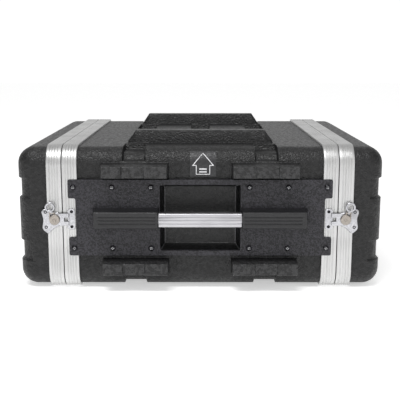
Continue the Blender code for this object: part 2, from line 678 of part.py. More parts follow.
# ---- Rack rails ----------------------------------------------------------------------------------
def rack_rail(end_name, side_name, slot):
    """A steel angle: one leg on the side wall, the other facing out with three square holes per unit."""
    end, side = ENDS[end_name], SIDES[side_name]
    wall_y = SHELL_HALF_Y - WALL - GAP
    inner_x = RAIL_FACE_X - RAIL_STEEL
    section = [(end * inner_x, side * RAIL_OPEN_HALF_Y), (end * RAIL_FACE_X, side * RAIL_OPEN_HALF_Y),
               (end * RAIL_FACE_X, side * (wall_y - RAIL_STEEL)),
               (end * RAIL_OUTER_X, side * (wall_y - RAIL_STEEL)),
               (end * RAIL_OUTER_X, side * wall_y), (end * inner_x, side * wall_y)]
    half = RACK_UNITS * RACK_UNIT / 2
    rail = loft(f"{end_name}_{side_name}_rack_rail",
                [on_z(section, PLATE_Z - half - RAIL_SPARE), on_z(section, PLATE_Z + half + RAIL_SPARE)])
    spans = []
    xs = sorted((end * (inner_x - CLEAR_OF), end * (RAIL_FACE_X + CLEAR_OF)))
    ys = sorted((side * (RAIL_HOLE_HALF_Y - RAIL_HOLE / 2), side * (RAIL_HOLE_HALF_Y + RAIL_HOLE / 2)))
    for unit in range(RACK_UNITS):
        foot = PLATE_Z - half + unit * RACK_UNIT
        for up in RAIL_HOLE_STEPS:
            spans.append((*xs, *ys, foot + up - RAIL_HOLE / 2, foot + up + RAIL_HOLE / 2))
    cut(rail, boxes(f"{end_name}_{side_name}_rail_holes", spans))
    long_x = sorted((end * (inner_x - CLEAR_OF), end * (RAIL_OUTER_X + CLEAR_OF)))
    leg_y = sorted((side * (wall_y - RAIL_STEEL), side * (wall_y + CLEAR_OF)))
    flat = SHELL_HALF_Z - CORNER_R - 2 * GAP
    cut(rail, boxes(f"{end_name}_{side_name}_rail_corners",
                    [(*long_x, *leg_y, SHELL_MID_Z + flat, SHELL_TOP),
                     (*long_x, *leg_y, SHELL_BOTTOM, SHELL_MID_Z - flat)]))
    cut(rail, screw_holes(f"{end_name}_{side_name}_rail_screw_holes", *SHELL_HOLES))
    return finish(rail, slot)


# ---- Twist latches -------------------------------------------------------------------------------
def latch_plate(label, end, side, slot, parent):
    """A lobed base plate riveted on the lid's band, with a bore for the knob's pin."""
    outline = [(end * (KNOB_X - u), LATCH_Z + v) for u, v in LATCH_LOBES]
    plate = loft(f"{label}_latch_plate", [on_y(outline, side * LATCH_SEAT), on_y(outline, side * LATCH_TOP)])
    spans = bmesh.new()
    bores = [(0.0, 0.0, KNOB_PIN_R + GAP)] + [(u, v, RIVET_R) for u, v in LATCH_RIVETS]
    for u, v, radius in bores:
        hole = circle(radius, 10, (end * (KNOB_X + u), LATCH_Z + v))
        add_loft(spans, [on_y(hole, side * (LATCH_SEAT - CLEAR_OF)), on_y(hole, side * (LATCH_TOP + CLEAR_OF))])
    cut(plate, add_object(f"{label}_latch_plate_holes", spans))
    return finish(plate, slot, (end * KNOB_X, side * LATCH_SEAT, LATCH_Z), parent)


def latch_knob(label, end, side, slot, parent):
    """The round cam head on a pin in the base plate, with two ears that hold the wing's tail."""
    centre = (end * KNOB_X, LATCH_Z)
    under = side * (CLAW_OVER + GAP)
    knob = loft(f"{label}_latch_knob",
                [on_y(circle(KNOB_PIN_R, 16, centre), side * (LATCH_SEAT + GAP)),
                 on_y(circle(KNOB_PIN_R, 16, centre), under),
                 on_y(circle(KNOB_R, 16, centre), under),
                 on_y(circle(KNOB_R, 16, centre), side * (KNOB_TOP - KNOB_CHAMFER)),
                 on_y(circle(KNOB_R - KNOB_CHAMFER, 16, centre), side * KNOB_TOP)])
    ys = sorted((under, side * (KNOB_TOP - KNOB_CHAMFER)))
    ears = []
    for hand in (-1, 1):
        xs = sorted(end * WING_X + hand * (WING_TAIL + reach) for reach in (GAP, GAP + EAR_T))
        ears.append((*xs, *ys, LATCH_Z + KNOB_R / 4, WING_HINGE_Z + WING_TAIL_DROP))
    join(knob, boxes(f"{label}_knob_ears", ears))
    return finish(knob, slot, (end * KNOB_X, side * LATCH_SEAT, LATCH_Z), parent)


def latch_wing(label, end, side, slot, parent):
    """The folding finger ring, flat when stowed, hinged by its tail."""
    middle = Vector((end * (WING_X + WING_LEAN), WING_HINGE_Z + WING_RISE))
    start, turns = math.radians(-72), 12
    sweep = math.tau + 2 * (-math.pi / 2 - start)

    def ring(radius):
        angles = [start + sweep * i / (turns - 1) for i in range(turns)]
        return [middle + radius * Vector((math.cos(angle), math.sin(angle))) for angle in angles]

    foot, elbow = WING_HINGE_Z - WING_TAIL_DROP, WING_HINGE_Z + WING_TAIL_UP
    tail = [Vector((end * WING_X + hand * WING_TAIL, z))
            for hand, z in ((-1, elbow), (-1, foot), (1, foot), (1, elbow))]
    under_hole = [middle + WING_HOLE_R * Vector((math.sin(turn), -math.cos(turn)))
                  for turn in map(math.radians, (-10.8, -3.6, 3.6, 10.8))]
    outer = tail + ring(WING_R)
    inner = under_hole + ring(WING_HOLE_R)
    y0, y1 = side * WING_UNDER, side * (WING_UNDER + WING_T)
    wing = loft(f"{label}_latch_wing", [on_y(outer, y0), on_y(outer, y1), on_y(inner, y1), on_y(inner, y0)],
                ring_shaped=True)
    hinge = (end * WING_X, side * (WING_UNDER + WING_T / 2), WING_HINGE_Z)
    return finish(wing, slot, hinge, parent)


def latch_claw(label, end, side, slot, parent):
    """The flat claw that the cam pulls: a slotted plate with two prongs that lie over the keeper's ridge."""
    slot_half_x = KNOB_PIN_R + CLAW_TRAVEL + 2 * GAP
    inner_x = KNOB_X + slot_half_x + 0.0020
    y0, y1 = side * CLAW_UNDER, side * CLAW_OVER
    half = CLAW_HALF_Z
    neck, tail = half * 0.62, half * 0.50
    body = [(KNOB_X - 0.0080, half), (CLAW_REACH_X, half), (CLAW_REACH_X, -half), (KNOB_X - 0.0080, -half),
            (KNOB_X + 0.0020, -neck), (inner_x, -tail), (inner_x, tail), (KNOB_X + 0.0020, neck)]
    outline = [(end * x, LATCH_Z + z) for x, z in body]
    claw = loft(f"{label}_latch_claw", [on_y(outline, y0), on_y(outline, y1)])
    xs = sorted((end * (KNOB_X - slot_half_x), end * (KNOB_X + slot_half_x)))
    fork = sorted((end * (CLAW_REACH_X - CLEAR_OF), end * (CLAW_REACH_X + CLAW_FORK_DEPTH)))
    ys = sorted((y0 - side * CLEAR_OF, y1 + side * CLEAR_OF))
    pin_half = KNOB_PIN_R + GAP
    spans = [(*xs, *ys, LATCH_Z - pin_half, LATCH_Z + pin_half),
             (*fork, *ys, LATCH_Z - CLAW_FORK_HALF, LATCH_Z + CLAW_FORK_HALF)]
    cut(claw, boxes(f"{label}_claw_cuts", spans))
    return finish(claw, slot, (end * KNOB_X, side * LATCH_SEAT, LATCH_Z), parent)


def latch_keeper(label, end, side, slot):
    """The strike plate on the body's band: a flat plate with a ridge and two rivet holes."""
    mid_x = end * (KEEPER_X0 + KEEPER_X1) / 2
    half_x = (KEEPER_X1 - KEEPER_X0) / 2
    outline = rounded(half_x, KEEPER_HALF_Z, KEEPER_CORNER, 2, centre=(mid_x, LATCH_Z))
    keeper = loft(f"{label}_latch_keeper", [on_y(outline, side * LATCH_SEAT), on_y(outline, side * LATCH_TOP)])
    xs = sorted(end * (KEEPER_X1 - inset) for inset in RIDGE_INSETS)
    ys = sorted((side * (LATCH_TOP - LATCH_PLATE_T / 2), side * RIDGE_TOP))
    join(keeper, boxes(f"{label}_ridge", [(*xs, *ys, LATCH_Z - CLAW_HALF_Z, LATCH_Z + CLAW_HALF_Z)]))
    holes = bmesh.new()
    for z in (-KEEPER_RIVET_Z, KEEPER_RIVET_Z):
        hole = circle(RIVET_R, 8, (end * (KEEPER_X0 + KEEPER_RIVET_IN), LATCH_Z + z))
        add_loft(holes, [on_y(hole, side * (LATCH_SEAT - CLEAR_OF)), on_y(hole, side * (LATCH_TOP + CLEAR_OF))])
    cut(keeper, add_object(f"{label}_keeper_holes", holes))
    return finish(keeper, slot)


# ---- Label ---------------------------------------------------------------------------------------
def arrow_label(slot):
    """A thin film that follows the rounded top edge of the right side."""
    def section(lift):
        face = SHELL_HALF_Y + lift
        points = [(-face, LABEL_BOTTOM)]
        for step in range(6):
            angle = LABEL_SWEEP * step / 5
            radius = CORNER_R + lift
            points.append((-(SHELL_HALF_Y - CORNER_R) - radius * math.cos(angle),
                           SHELL_TOP - CORNER_R + radius * math.sin(angle)))
        return points

    low, high = LABEL_FILM
    outline = section(high) + section(low)[::-1]
    x0, x1 = LABEL_X - LABEL_WIDTH / 2, LABEL_X + LABEL_WIDTH / 2
    return finish(loft("arrow_label", [on_x(outline, x0), on_x(outline, x1)]), slot)


# ---- The case ------------------------------------------------------------------------------------
def build():
    for old in list(bpy.data.objects):
        bpy.data.objects.remove(old, do_unlink=True)

    shell = material("shell_plastic", (0.045, 0.045, 0.048), 0.55)
    plate = material("plate_paint", (0.062, 0.060, 0.066), 0.50)
    cup = material("cup_plastic", (0.035, 0.035, 0.037), 0.50)
    housing = material("housing_plastic", (0.040, 0.040, 0.042), 0.40)
    valance = material("valance_aluminium", (0.80, 0.80, 0.79), 0.35, 1.0)
    sleeve = material("sleeve_aluminium", (0.58, 0.57, 0.60), 0.40, 1.0)
    zinc = material("latch_zinc", (0.66, 0.66, 0.68), 0.30, 1.0)
    knob = material("knob_steel", (0.50, 0.45, 0.39), 0.30, 1.0)
    screw = material("screw_black", (0.10, 0.10, 0.11), 0.35, 1.0)
    rail = material("rail_steel", (0.30, 0.30, 0.31), 0.40, 1.0)
    film = material("label_film", (0.055, 0.055, 0.060), 0.30)

    body_shell(shell)
    for side_name in SIDES:
        side_plate(side_name, plate)
        hand_cup(side_name, cup)
        grip_core(side_name, rail)
        grip_sleeve(side_name, sleeve)
        for end_name in ENDS:
            handle_housing(end_name, side_name, housing)
            rack_rail(end_name, side_name, rail)
    for label, end, side, z in screw_places():
        corner_screw(label, end, side, z, screw)
    arrow_label(film)

    for end_name, end in ENDS.items():
        body_valance(end_name, valance)
        lid = frame(f"{end_name}_lid_frame", (end * SPLIT, 0, SHELL_MID_Z))
        lid_shell(end_name, shell, lid)
        lid_valance(end_name, valance, lid)
        for side_name, side in SIDES.items():
            label = f"{end_name}_{side_name}"
            axis = frame(f"{label}_knob_axis", (end * KNOB_X, side * LATCH_SEAT, LATCH_Z), lid)
            latch_plate(label, end, side, zinc, lid)
            latch_knob(label, end, side, knob, axis)
            latch_wing(label, end, side, zinc, axis)
            latch_claw(label, end, side, zinc, lid)
            latch_keeper(label, end, side, zinc)


build()
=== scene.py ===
"""Looks of a four-unit moulded rack flight case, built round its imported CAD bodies.

Metres, +Z up. The front lid is at -X and the rear lid at +X; the sides are at -Y and +Y.
"""

import math

import bmesh
import bpy
from mathutils import Euler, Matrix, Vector


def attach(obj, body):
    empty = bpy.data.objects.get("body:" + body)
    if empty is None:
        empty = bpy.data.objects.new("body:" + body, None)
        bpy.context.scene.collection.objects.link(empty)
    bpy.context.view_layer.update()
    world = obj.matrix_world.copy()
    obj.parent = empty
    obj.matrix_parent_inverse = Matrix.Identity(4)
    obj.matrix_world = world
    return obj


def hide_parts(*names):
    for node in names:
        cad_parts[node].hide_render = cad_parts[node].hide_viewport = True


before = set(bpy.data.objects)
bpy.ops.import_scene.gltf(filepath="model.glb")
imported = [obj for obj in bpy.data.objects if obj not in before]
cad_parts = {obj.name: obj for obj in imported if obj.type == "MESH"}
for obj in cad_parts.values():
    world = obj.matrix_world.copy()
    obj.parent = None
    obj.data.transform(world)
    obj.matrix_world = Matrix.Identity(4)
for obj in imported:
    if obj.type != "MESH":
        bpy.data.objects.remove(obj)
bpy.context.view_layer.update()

# ---- Sizes shared with the CAD ------------------------------------------------------------
WALL = 0.004
CORNER_R = 0.027
HALF_Y = 0.2525              # moulded shell
SHELL_LOW, SHELL_HIGH = 0.004, 0.2295
MID_Z = (SHELL_LOW + SHELL_HIGH) / 2
HALF_Z = (SHELL_HIGH - SHELL_LOW) / 2
FLAT_Y = HALF_Y - CORNER_R
FLAT_Z = HALF_Z - CORNER_R
BODY_END = 0.2163
LID_START = 0.2214
LID_END = 0.2920
SIDE_REACH = 0.2800
ENDS = {"front": -1, "rear": 1}
SIDES = {"right": -1, "left": 1}

CHANNELS = (-0.105, 0.0, 0.105)
CHANNEL_HALF = 0.01775
CHANNEL_DEEP = 0.0095
CHANNEL_MID_Y = 0.155
CHANNEL_EDGE_Y = 0.193
LEDGE_Z = 0.2080
LEDGE_SLOPE = 0.12
LOW_CHANNEL_DEEP = 0.005
LOW_CHANNEL_Z = 0.0235
BAR_Y = 0.169
BAR_HALF = 0.0125
BAR_HIGH = 0.021
BAR_FOOT, BAR_SLOPE = 0.1200, 0.0122
SLOT_SPARE = 0.002
SLOT_DEEP = 0.0145
BLOCK_X0, BLOCK_X1 = 0.050, 0.1555
BLOCK_ZS = (0.0390, 0.1940)
BLOCK_HALF_Z = 0.01175
BLOCK_DRAFT = 0.0025
BLOCK_HIGH = SIDE_REACH - HALF_Y
DISH_DEEP = 0.0020
CUP_CUT_X, CUP_CUT_Z = 0.0663, 0.0556
PLATE_Z = 0.1187
PLATE_FACE = 0.2588
SOFT = 0.0015                # rounding of moulded edges
CRISP = 0.0006
CLOSE = 1e-6                 # what counts as the same place
OUTER_CHANNELS = CHANNELS[::2]
LEDGE_ANGLE, LOW_LEDGE_ANGLE = math.radians(12.4), math.radians(16.1)

# Each kind of wall: how far its face leans in, the fillet at its foot, the rounding of its lip.
CHANNEL_WALL = (CRISP, SOFT, SOFT)
DISH_WALL = (CRISP, CRISP, CRISP)
BAR_SIDE, BAR_END = (0.0004, 0.001, 0.002), (BAR_SLOPE, 0.001, 0.002)
SLOT_WALL = (0.0004, 0.001, 0.001)
BLOCK_SIDE, BLOCK_END = (BLOCK_DRAFT, SOFT, SOFT), (BLOCK_DRAFT / 2, SOFT, SOFT)


# ---- Building blocks ----------------------------------------------------------------------
def wall(u, height, run, root, lip):
    """How high a moulded wall stands at u from its foot: a fillet, a drafted face, a rounded lip."""
    if u <= -root:
        return 0.0
    if u < 0:
        return root - math.sqrt(max(root * root - (u + root) ** 2, 0.0))
    if u < run:
        return root + (height - root - lip) * u / run
    if u < run + lip:
        return height - lip + math.sqrt(max(lip * lip - (run + lip - u) ** 2, 0.0))
    return height


ARC_STEPS = (1.0, 0.5, 0.134, 0.0)       # where a quarter round is cut: every 30 degrees


def lines(at, inward, run, root, lip):
    """Grid lines across one wall whose foot is at this place."""
    foot = [at - inward * root * step for step in ARC_STEPS]
    top = [at + inward * (run + lip * (1 - step)) for step in ARC_STEPS]
    return foot + top


def filled(marks, low, high, pitch):
    """The marks in order, with evenly spaced plain lines added between low and high."""
    count = round((high - low) / pitch)
    return sorted(marks + [low + (high - low) * i / count for i in range(1, count)])


def link_object(name, data):
    made = bpy.data.objects.new(name, data)
    bpy.context.scene.collection.objects.link(made)
    return made


def solid_object(name, shape):
    """The shape as an object, with its faces turned outwards."""
    bmesh.ops.recalc_face_normals(shape, faces=shape.faces)
    mesh = bpy.data.meshes.new(name)
    shape.to_mesh(mesh)
    shape.free()
    return link_object(name, mesh)


def new_piece(name, shape, material, body, stands_for=(), sharp=45, smooth=True):
    bmesh.ops.remove_doubles(shape, verts=shape.verts, dist=2e-6)
    piece = solid_object(name, shape)
    piece.data.materials.append(material)
    if smooth:
        piece.data.shade_smooth()
        piece.data.set_sharp_from_angle(angle=math.radians(sharp))
    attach(piece, body)
    if stands_for:
        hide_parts(*stands_for)
    return piece


def rounded(half_u, half_v, radius, steps=6, centre=(0.0, 0.0)):
    """Corner points of a rounded rectangle, anticlockwise."""
    points = []
    for quarter, (su, sv) in enumerate(((1, 1), (-1, 1), (-1, -1), (1, -1))):
        for step in range(steps + 1):
            angle = math.pi / 2 * (quarter + step / steps)
            points.append((centre[0] + su * (half_u - radius) + radius * math.cos(angle),
                           centre[1] + sv * (half_v - radius) + radius * math.sin(angle)))
    return points


def join_loops(shape, low, high):
    """Faces between two closed loops of points."""
    for i in range(len(low)):
        j = (i + 1) % len(low)
        shape.faces.new((low[i], low[j], high[j], high[i]))


def join_rows(shape, rows):
    """Faces between open rows of points."""
    for near, far in zip(rows, rows[1:]):
        for k in range(len(near) - 1):
            shape.faces.new((near[k], near[k + 1], far[k + 1], far[k]))


def skin(shape, rings, closed=False):
    """Skins rings of points one after another, then caps the ends or closes the last onto the first."""
    rows = [[shape.verts.new(point) for point in ring] for ring in rings]
    for below, above in zip(rows, rows[1:]):
        join_loops(shape, below, above)
    if closed:
        join_loops(shape, rows[-1], rows[0])
    else:
        shape.faces.new(rows[0])
        shape.faces.new(rows[-1])


def on_x(outline, x):
    return [Vector((x, u, v)) for u, v in outline]


def on_y(outline, y):
    return [Vector((u, y, v)) for u, v in outline]


def turned(profile, sides, centre, side):
    """Rings of a turned shape on an axis along Y: each profile point is a radius and a Y from the middle."""
    rings = []
    for radius, y in profile:
        rings.append([Vector((centre[0] + radius * math.cos(math.tau * i / sides), side * y,
                              centre[1] + radius * math.sin(math.tau * i / sides))) for i in range(sides)])
    return rings


def softened(node, width, segments=2, angle=40):
    """A CAD node's own shape, merged, with its hard edges rounded."""
    shape = bmesh.new()
    shape.from_mesh(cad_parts[node].data)
    bmesh.ops.remove_doubles(shape, verts=shape.verts, dist=1e-5)
    bmesh.ops.dissolve_limit(shape, angle_limit=math.radians(2), verts=shape.verts[:], edges=shape.edges[:])
    bmesh.ops.recalc_face_normals(shape, faces=shape.faces)
    hard = [edge for edge in shape.edges
            if len(edge.link_faces) == 2 and edge.calc_face_angle() > math.radians(angle)]
    rounding = bmesh.ops.bevel(shape, geom=hard, offset=width, offset_type="OFFSET", segments=segments,
                               profile=0.5, affect="EDGES", clamp_overlap=True)
    for face in shape.faces:
        face.smooth = False
    for face in rounding["faces"]:
        face.smooth = True
    return shape


# ---- Shader groups --------------------------------------------------------------------------
def node_group(name, inputs, outputs, kind="ShaderNodeTree"):
    """An empty group with its inputs, each a (label, kind, value), and its outputs, each a (label, kind)."""
    group = bpy.data.node_groups.new(name, kind)
    for label, socket_kind, value in inputs:
        socket = group.interface.new_socket(label, in_out="INPUT", socket_type=f"NodeSocket{socket_kind}")
        if value is not None:
            socket.default_value = value
    for label, socket_kind in outputs:
        group.interface.new_socket(label, in_out="OUTPUT", socket_type=f"NodeSocket{socket_kind}")
    return group, group.nodes.new("NodeGroupInput"), group.nodes.new("NodeGroupOutput")


def give(tree, socket, value):
    """Sets a socket to a value, or links it when the value is another node's output."""
    if isinstance(value, bpy.types.NodeSocket):
        tree.links.new(value, socket)
    else:
        socket.default_value = value


def add(tree, kind, settings=None, **values):
    """A node with its settings and its inputs, each a value or another node's output."""
    made = tree.nodes.new(kind)
    for label, value in (settings or {}).items():
        setattr(made, label, value)
    for label, value in values.items():
        give(tree, made.inputs[label.replace("_", " ")], value)
    return made


def combine(tree, operation, first, second=0.0, clamp=False):
    made = add(tree, "ShaderNodeMath", {"operation": operation, "use_clamp": clamp})
    give(tree, made.inputs[0], first)
    give(tree, made.inputs[1], second)
    return made.outputs[0]


def spread(tree, value, low, high, to_low, to_high):
    made = add(tree, "ShaderNodeMapRange", {"clamp": True, "interpolation_type": "SMOOTHSTEP"},
               Value=value, From_Min=low, From_Max=high, To_Min=to_low, To_Max=to_high)
    return made.outputs["Result"]


def size_along(tree, vector, axis):
    """How far a vector reaches along one axis, whichever way it points."""
    return combine(tree, "ABSOLUTE", add(tree, "ShaderNodeSeparateXYZ", Vector=vector).outputs[axis])


def moulded_grain_group():
    """Pebbles of a moulded skin: height for the bump, a tone that mottles the colour, and worn high spots."""
    group, given, out = node_group(
        "moulded grain",
        [("Vector", "Vector", None), ("Pebble scale", "Float", 620.0), ("Mottle scale", "Float", 260.0)],
        [("Height", "Float"), ("Tone", "Float"), ("Rub", "Float")])
    place, mottle_scale = given.outputs["Vector"], given.outputs["Mottle scale"]
    pebbles = add(group, "ShaderNodeTexVoronoi", {"feature": "SMOOTH_F1"}, Vector=place,
                  Scale=given.outputs["Pebble scale"], Smoothness=0.6, Randomness=1.0)
    mottle = add(group, "ShaderNodeTexNoise", Vector=place, Scale=mottle_scale, Detail=4.0, Roughness=0.65)
    fold_scale = combine(group, "MULTIPLY", mottle_scale, 0.70)
    folds = add(group, "ShaderNodeTexNoise", Vector=place, Scale=fold_scale, Detail=1.0, Roughness=0.5)
    rubs = add(group, "ShaderNodeTexNoise", Vector=place, Scale=9.0, Detail=6.0, Roughness=0.7)
    height = combine(group, "ADD", combine(group, "MULTIPLY", pebbles.outputs["Distance"], -1.1),
                     combine(group, "MULTIPLY", mottle.outputs["Fac"], 0.8))
    mixed = combine(group, "ADD", combine(group, "MULTIPLY", mottle.outputs["Fac"], 0.5),
                    combine(group, "MULTIPLY", folds.outputs["Fac"], 0.5))
    give(group, out.inputs["Height"], height)
    give(group, out.inputs["Tone"], spread(group, mixed, 0.44, 0.56, 0.0, 1.0))
    give(group, out.inputs["Rub"], spread(group, rubs.outputs["Fac"], 0.56, 0.75, 0.0, 1.0))
    return group


def drawn_metal_group():
    """Fine die lines of drawn or brushed metal. Direction is how finely each axis is cut."""
    group, given, out = node_group(
        "drawn metal",
        [("Vector", "Vector", None), ("Direction", "Vector", (1500.0, 12.0, 12.0))],
        [("Height", "Float"), ("Lines", "Float"), ("Cloud", "Float")])
    place = given.outputs["Vector"]
    stretch = add(group, "ShaderNodeVectorMath", {"operation": "MULTIPLY"}, Vector=place)
    give(group, stretch.inputs[1], given.outputs["Direction"])
    fine = add(group, "ShaderNodeTexNoise", Vector=stretch.outputs[0], Scale=1.0, Detail=3.0, Roughness=0.6)
    cloud = add(group, "ShaderNodeTexNoise", Vector=place, Scale=22.0, Detail=5.0, Roughness=0.6)
    give(group, out.inputs["Height"], fine.outputs["Fac"])
    give(group, out.inputs["Lines"], spread(group, fine.outputs["Fac"], 0.30, 0.70, 0.0, 1.0))
    give(group, out.inputs["Cloud"], spread(group, cloud.outputs["Fac"], 0.35, 0.68, 0.0, 1.0))
    return group


def scuff_group():
    """Thin short scratches and small nicks as one mask, and the dust on faces that look up as another."""
    group, given, out = node_group("scuffs", [("Vector", "Vector", None), ("Amount", "Float", 0.5)],
                                   [("Mask", "Float"), ("Dust", "Float")])
    place = given.outputs["Vector"]
    bend = add(group, "ShaderNodeTexNoise", Vector=place, Scale=30.0, Detail=2.0)
    shift = add(group, "ShaderNodeVectorMath", {"operation": "SCALE"}, Vector=bend.outputs["Color"],
                Scale=0.02)
    bent = add(group, "ShaderNodeVectorMath", {"operation": "ADD"}, Vector=place)
    give(group, bent.inputs[1], shift.outputs[0])
    cracks = add(group, "ShaderNodeTexVoronoi", {"feature": "DISTANCE_TO_EDGE"}, Vector=bent.outputs[0],
                 Scale=45.0)
    patches = add(group, "ShaderNodeTexNoise", Vector=place, Scale=60.0, Detail=3.0)
    scratch = combine(group, "MULTIPLY", spread(group, cracks.outputs["Distance"], 0.0, 0.012, 1.0, 0.0),
                      spread(group, patches.outputs["Fac"], 0.55, 0.68, 0.0, 1.0))
    give(group, out.inputs["Mask"], combine(group, "MULTIPLY", scratch, given.outputs["Amount"]))
    surface = add(group, "ShaderNodeNewGeometry")
    facing = add(group, "ShaderNodeSeparateXYZ", Vector=surface.outputs["Normal"])
    dust = combine(group, "MULTIPLY", spread(group, facing.outputs["Z"], 0.55, 1.0, 0.0, 1.0),
                   spread(group, patches.outputs["Fac"], 0.30, 0.65, 0.45, 1.0))
    give(group, out.inputs["Dust"], dust)
    return group


GRAIN = moulded_grain_group()
DRAWN = drawn_metal_group()
SCUFFS = scuff_group()


def use_group(tree, group, vector, **values):
    return add(tree, "ShaderNodeGroup", {"node_tree": group}, Vector=vector, **values)


def blend_colour(tree, factor, first, second):
    made = add(tree, "ShaderNodeMix", {"data_type": "RGBA"}, Factor=factor)
    for socket, value in ((made.inputs[6], first), (made.inputs[7], second)):
        give(tree, socket, (*value, 1.0) if isinstance(value, tuple) else value)
    return made.outputs[2]


def new_material(name):
    made = bpy.data.materials.new(name)
    made.use_nodes = True
    tree = made.node_tree
    place = tree.nodes.new("ShaderNodeTexCoord").outputs["Object"]
    return made, tree, tree.nodes["Principled BSDF"], place


def bump(tree, shader, height, distance):
    made = add(tree, "ShaderNodeBump", Strength=1.0, Distance=distance, Height=height)
    tree.links.new(made.outputs["Normal"], shader.inputs["Normal"])


PROUD_Y = HALF_Y + BLOCK_HIGH * 0.45


def moulded_plastic(name, dark, light, rough, pebble, deep, dust=(0.05, 0.05, 0.052), dust_amount=0.12,
                    gloss=0.5, matt_floor=0.0, fillet_highlight=None, raised_face_light=None):
    """Black plastic with a pebbled skin, paler where it wears and a little dusty on top.

    With a fillet colour given, the rounded corners between a wall and the back get it as a painted highlight.
    With a raised-face colour given, the faces that stand out past PROUD_Y get it as painted light, paler as
    lit faces.
    """
    made, tree, shader, place = new_material(name)
    shader.inputs["Specular IOR Level"].default_value = gloss
    grain = use_group(tree, GRAIN, place, Pebble_scale=pebble, Mottle_scale=pebble * 0.55)
    scuffs = use_group(tree, SCUFFS, place, Amount=0.5)
    colour = blend_colour(tree, grain.outputs["Tone"], dark, light)
    wear_and_glint = combine(tree, "MULTIPLY", grain.outputs["Rub"], 0.25)
    colour = blend_colour(tree, combine(tree, "ADD", wear_and_glint, scuffs.outputs["Mask"], True), colour,
                          tuple(part * 1.8 for part in light))
    colour = blend_colour(tree, combine(tree, "MULTIPLY", scuffs.outputs["Dust"], dust_amount), colour, dust)
    # painted highlight: the rounded fillets between the cup's walls and its back are painted paler, as if lit
    if fillet_highlight:
        aside = size_along(tree, tree.nodes.new("ShaderNodeTexCoord").outputs["Normal"], "X")
        painted_light_mask = combine(tree, "MULTIPLY", spread(tree, aside, 0.12, 0.30, 0.0, 1.0),
                         spread(tree, aside, 0.72, 0.90, 1.0, 0.0))
        colour = blend_colour(tree, painted_light_mask, colour, fillet_highlight)
    # painted light: the faces standing out past PROUD_Y are painted paler where they catch the light
    if raised_face_light:
        outward = spread(tree, size_along(tree, place, "Y"), PROUD_Y, PROUD_Y + 0.0015, 0.0, 1.0)
        painted_light_mask = combine(tree, "MULTIPLY", outward, spread(tree, grain.outputs["Tone"], 0.0, 1.0, 0.25, 1.0))
        colour = blend_colour(tree, painted_light_mask, colour, raised_face_light)
    uneven = spread(tree, grain.outputs["Tone"], 0.0, 1.0, rough + 0.07, rough - 0.05)
    matted = combine(tree, "MULTIPLY", scuffs.outputs["Dust"], matt_floor)
    give(tree, shader.inputs["Base Color"], colour)
    give(tree, shader.inputs["Roughness"], combine(tree, "ADD", uneven, matted, True))
    bump(tree, shader, grain.outputs["Height"], deep)
    return made


def painted_plate(name):
    """Charcoal powder coat with a fine orange-peel texture."""
    made, tree, shader, place = new_material(name)
    shader.inputs["Specular IOR Level"].default_value = 0.5
    grain = use_group(tree, GRAIN, place, Pebble_scale=700.0, Mottle_scale=560.0)
    scuffs = use_group(tree, SCUFFS, place, Amount=0.35)
    colour = blend_colour(tree, grain.outputs["Tone"], (0.0012, 0.0010, 0.0030), (0.0250, 0.0234, 0.0302))
    colour = blend_colour(tree, scuffs.outputs["Mask"], colour, (0.085, 0.084, 0.092))
    give(tree, shader.inputs["Base Color"], colour)
    give(tree, shader.inputs["Roughness"], spread(tree, grain.outputs["Tone"], 0.0, 1.0, 0.50, 0.40))
    bump(tree, shader, grain.outputs["Height"], 0.00060)
    return made


def drawn_metal(name, dull, bright, rough, direction, deep, edge=None, recess_glint=None):
    """Drawn or rolled metal with die lines, cloudy oxide and a few nicks.

    With an edge colour given, what doesn't face along Y, such as a stamping's cut sides, gets it as a painted
    shade.
    With a glint colour given, the places marked by the piece's own point attribute get it as a painted glint.
    """
    made, tree, shader, place = new_material(name)
    shader.inputs["Metallic"].default_value = 1.0
    drawn = use_group(tree, DRAWN, place, Direction=direction)
    scuffs = use_group(tree, SCUFFS, place, Amount=0.4)
    colour = blend_colour(tree, drawn.outputs["Lines"], dull, bright)
    clouded = combine(tree, "MULTIPLY", drawn.outputs["Cloud"], 0.35)
    colour = blend_colour(tree, clouded, colour, tuple(part * 0.93 for part in dull))
    colour = blend_colour(tree, scuffs.outputs["Mask"], colour, tuple(part * 0.45 for part in dull))
    # painted shade: sides that don't face along Y are painted dark, standing in for the shadow round the
    # stamping
    if edge:
        flat = size_along(tree, tree.nodes.new("ShaderNodeTexCoord").outputs["Normal"], "Y")
        colour = blend_colour(tree, spread(tree, flat, 0.45, 0.92, 1.0, 0.0), colour, edge)
    if recess_glint:
        # painted glint where the piece's point attribute is set
        wear_and_glint = add(tree, "ShaderNodeAttribute", {"attribute_name": "wear_and_glint"})
        colour = blend_colour(tree, wear_and_glint.outputs["Fac"], colour, recess_glint)
    give(tree, shader.inputs["Base Color"], colour)
    give(tree, shader.inputs["Roughness"],
         spread(tree, drawn.outputs["Cloud"], 0.0, 1.0, rough - 0.06, rough + 0.08))
    bump(tree, shader, drawn.outputs["Height"], deep)
    return made


def turned_metal(name):
    """Face-turned disc with a straw-coloured passivation: rings from the piece's own flat map."""
    made, tree, shader, place = new_material(name)
    shader.inputs["Metallic"].default_value = 1.0
    flat = add(tree, "ShaderNodeUVMap", {"uv_map": "disc"})
    radius = add(tree, "ShaderNodeVectorMath", {"operation": "LENGTH"}, Vector=flat.outputs[0])
    rings = combine(tree, "SINE", combine(tree, "MULTIPLY", radius.outputs["Value"], 16000.0))
    scuffs = use_group(tree, SCUFFS, place, Amount=0.6)
    tone = spread(tree, rings, -1.0, 1.0, 0.0, 1.0)
    colour = blend_colour(tree, tone, (0.36, 0.325, 0.29), (0.47, 0.43, 0.39))
    colour = blend_colour(tree, scuffs.outputs["Mask"], colour, (0.20, 0.17, 0.14))
    give(tree, shader.inputs["Base Color"], colour)
    give(tree, shader.inputs["Roughness"], spread(tree, rings, -1.0, 1.0, 0.30, 0.40))
    bump(tree, shader, rings, 0.00004)
    return made
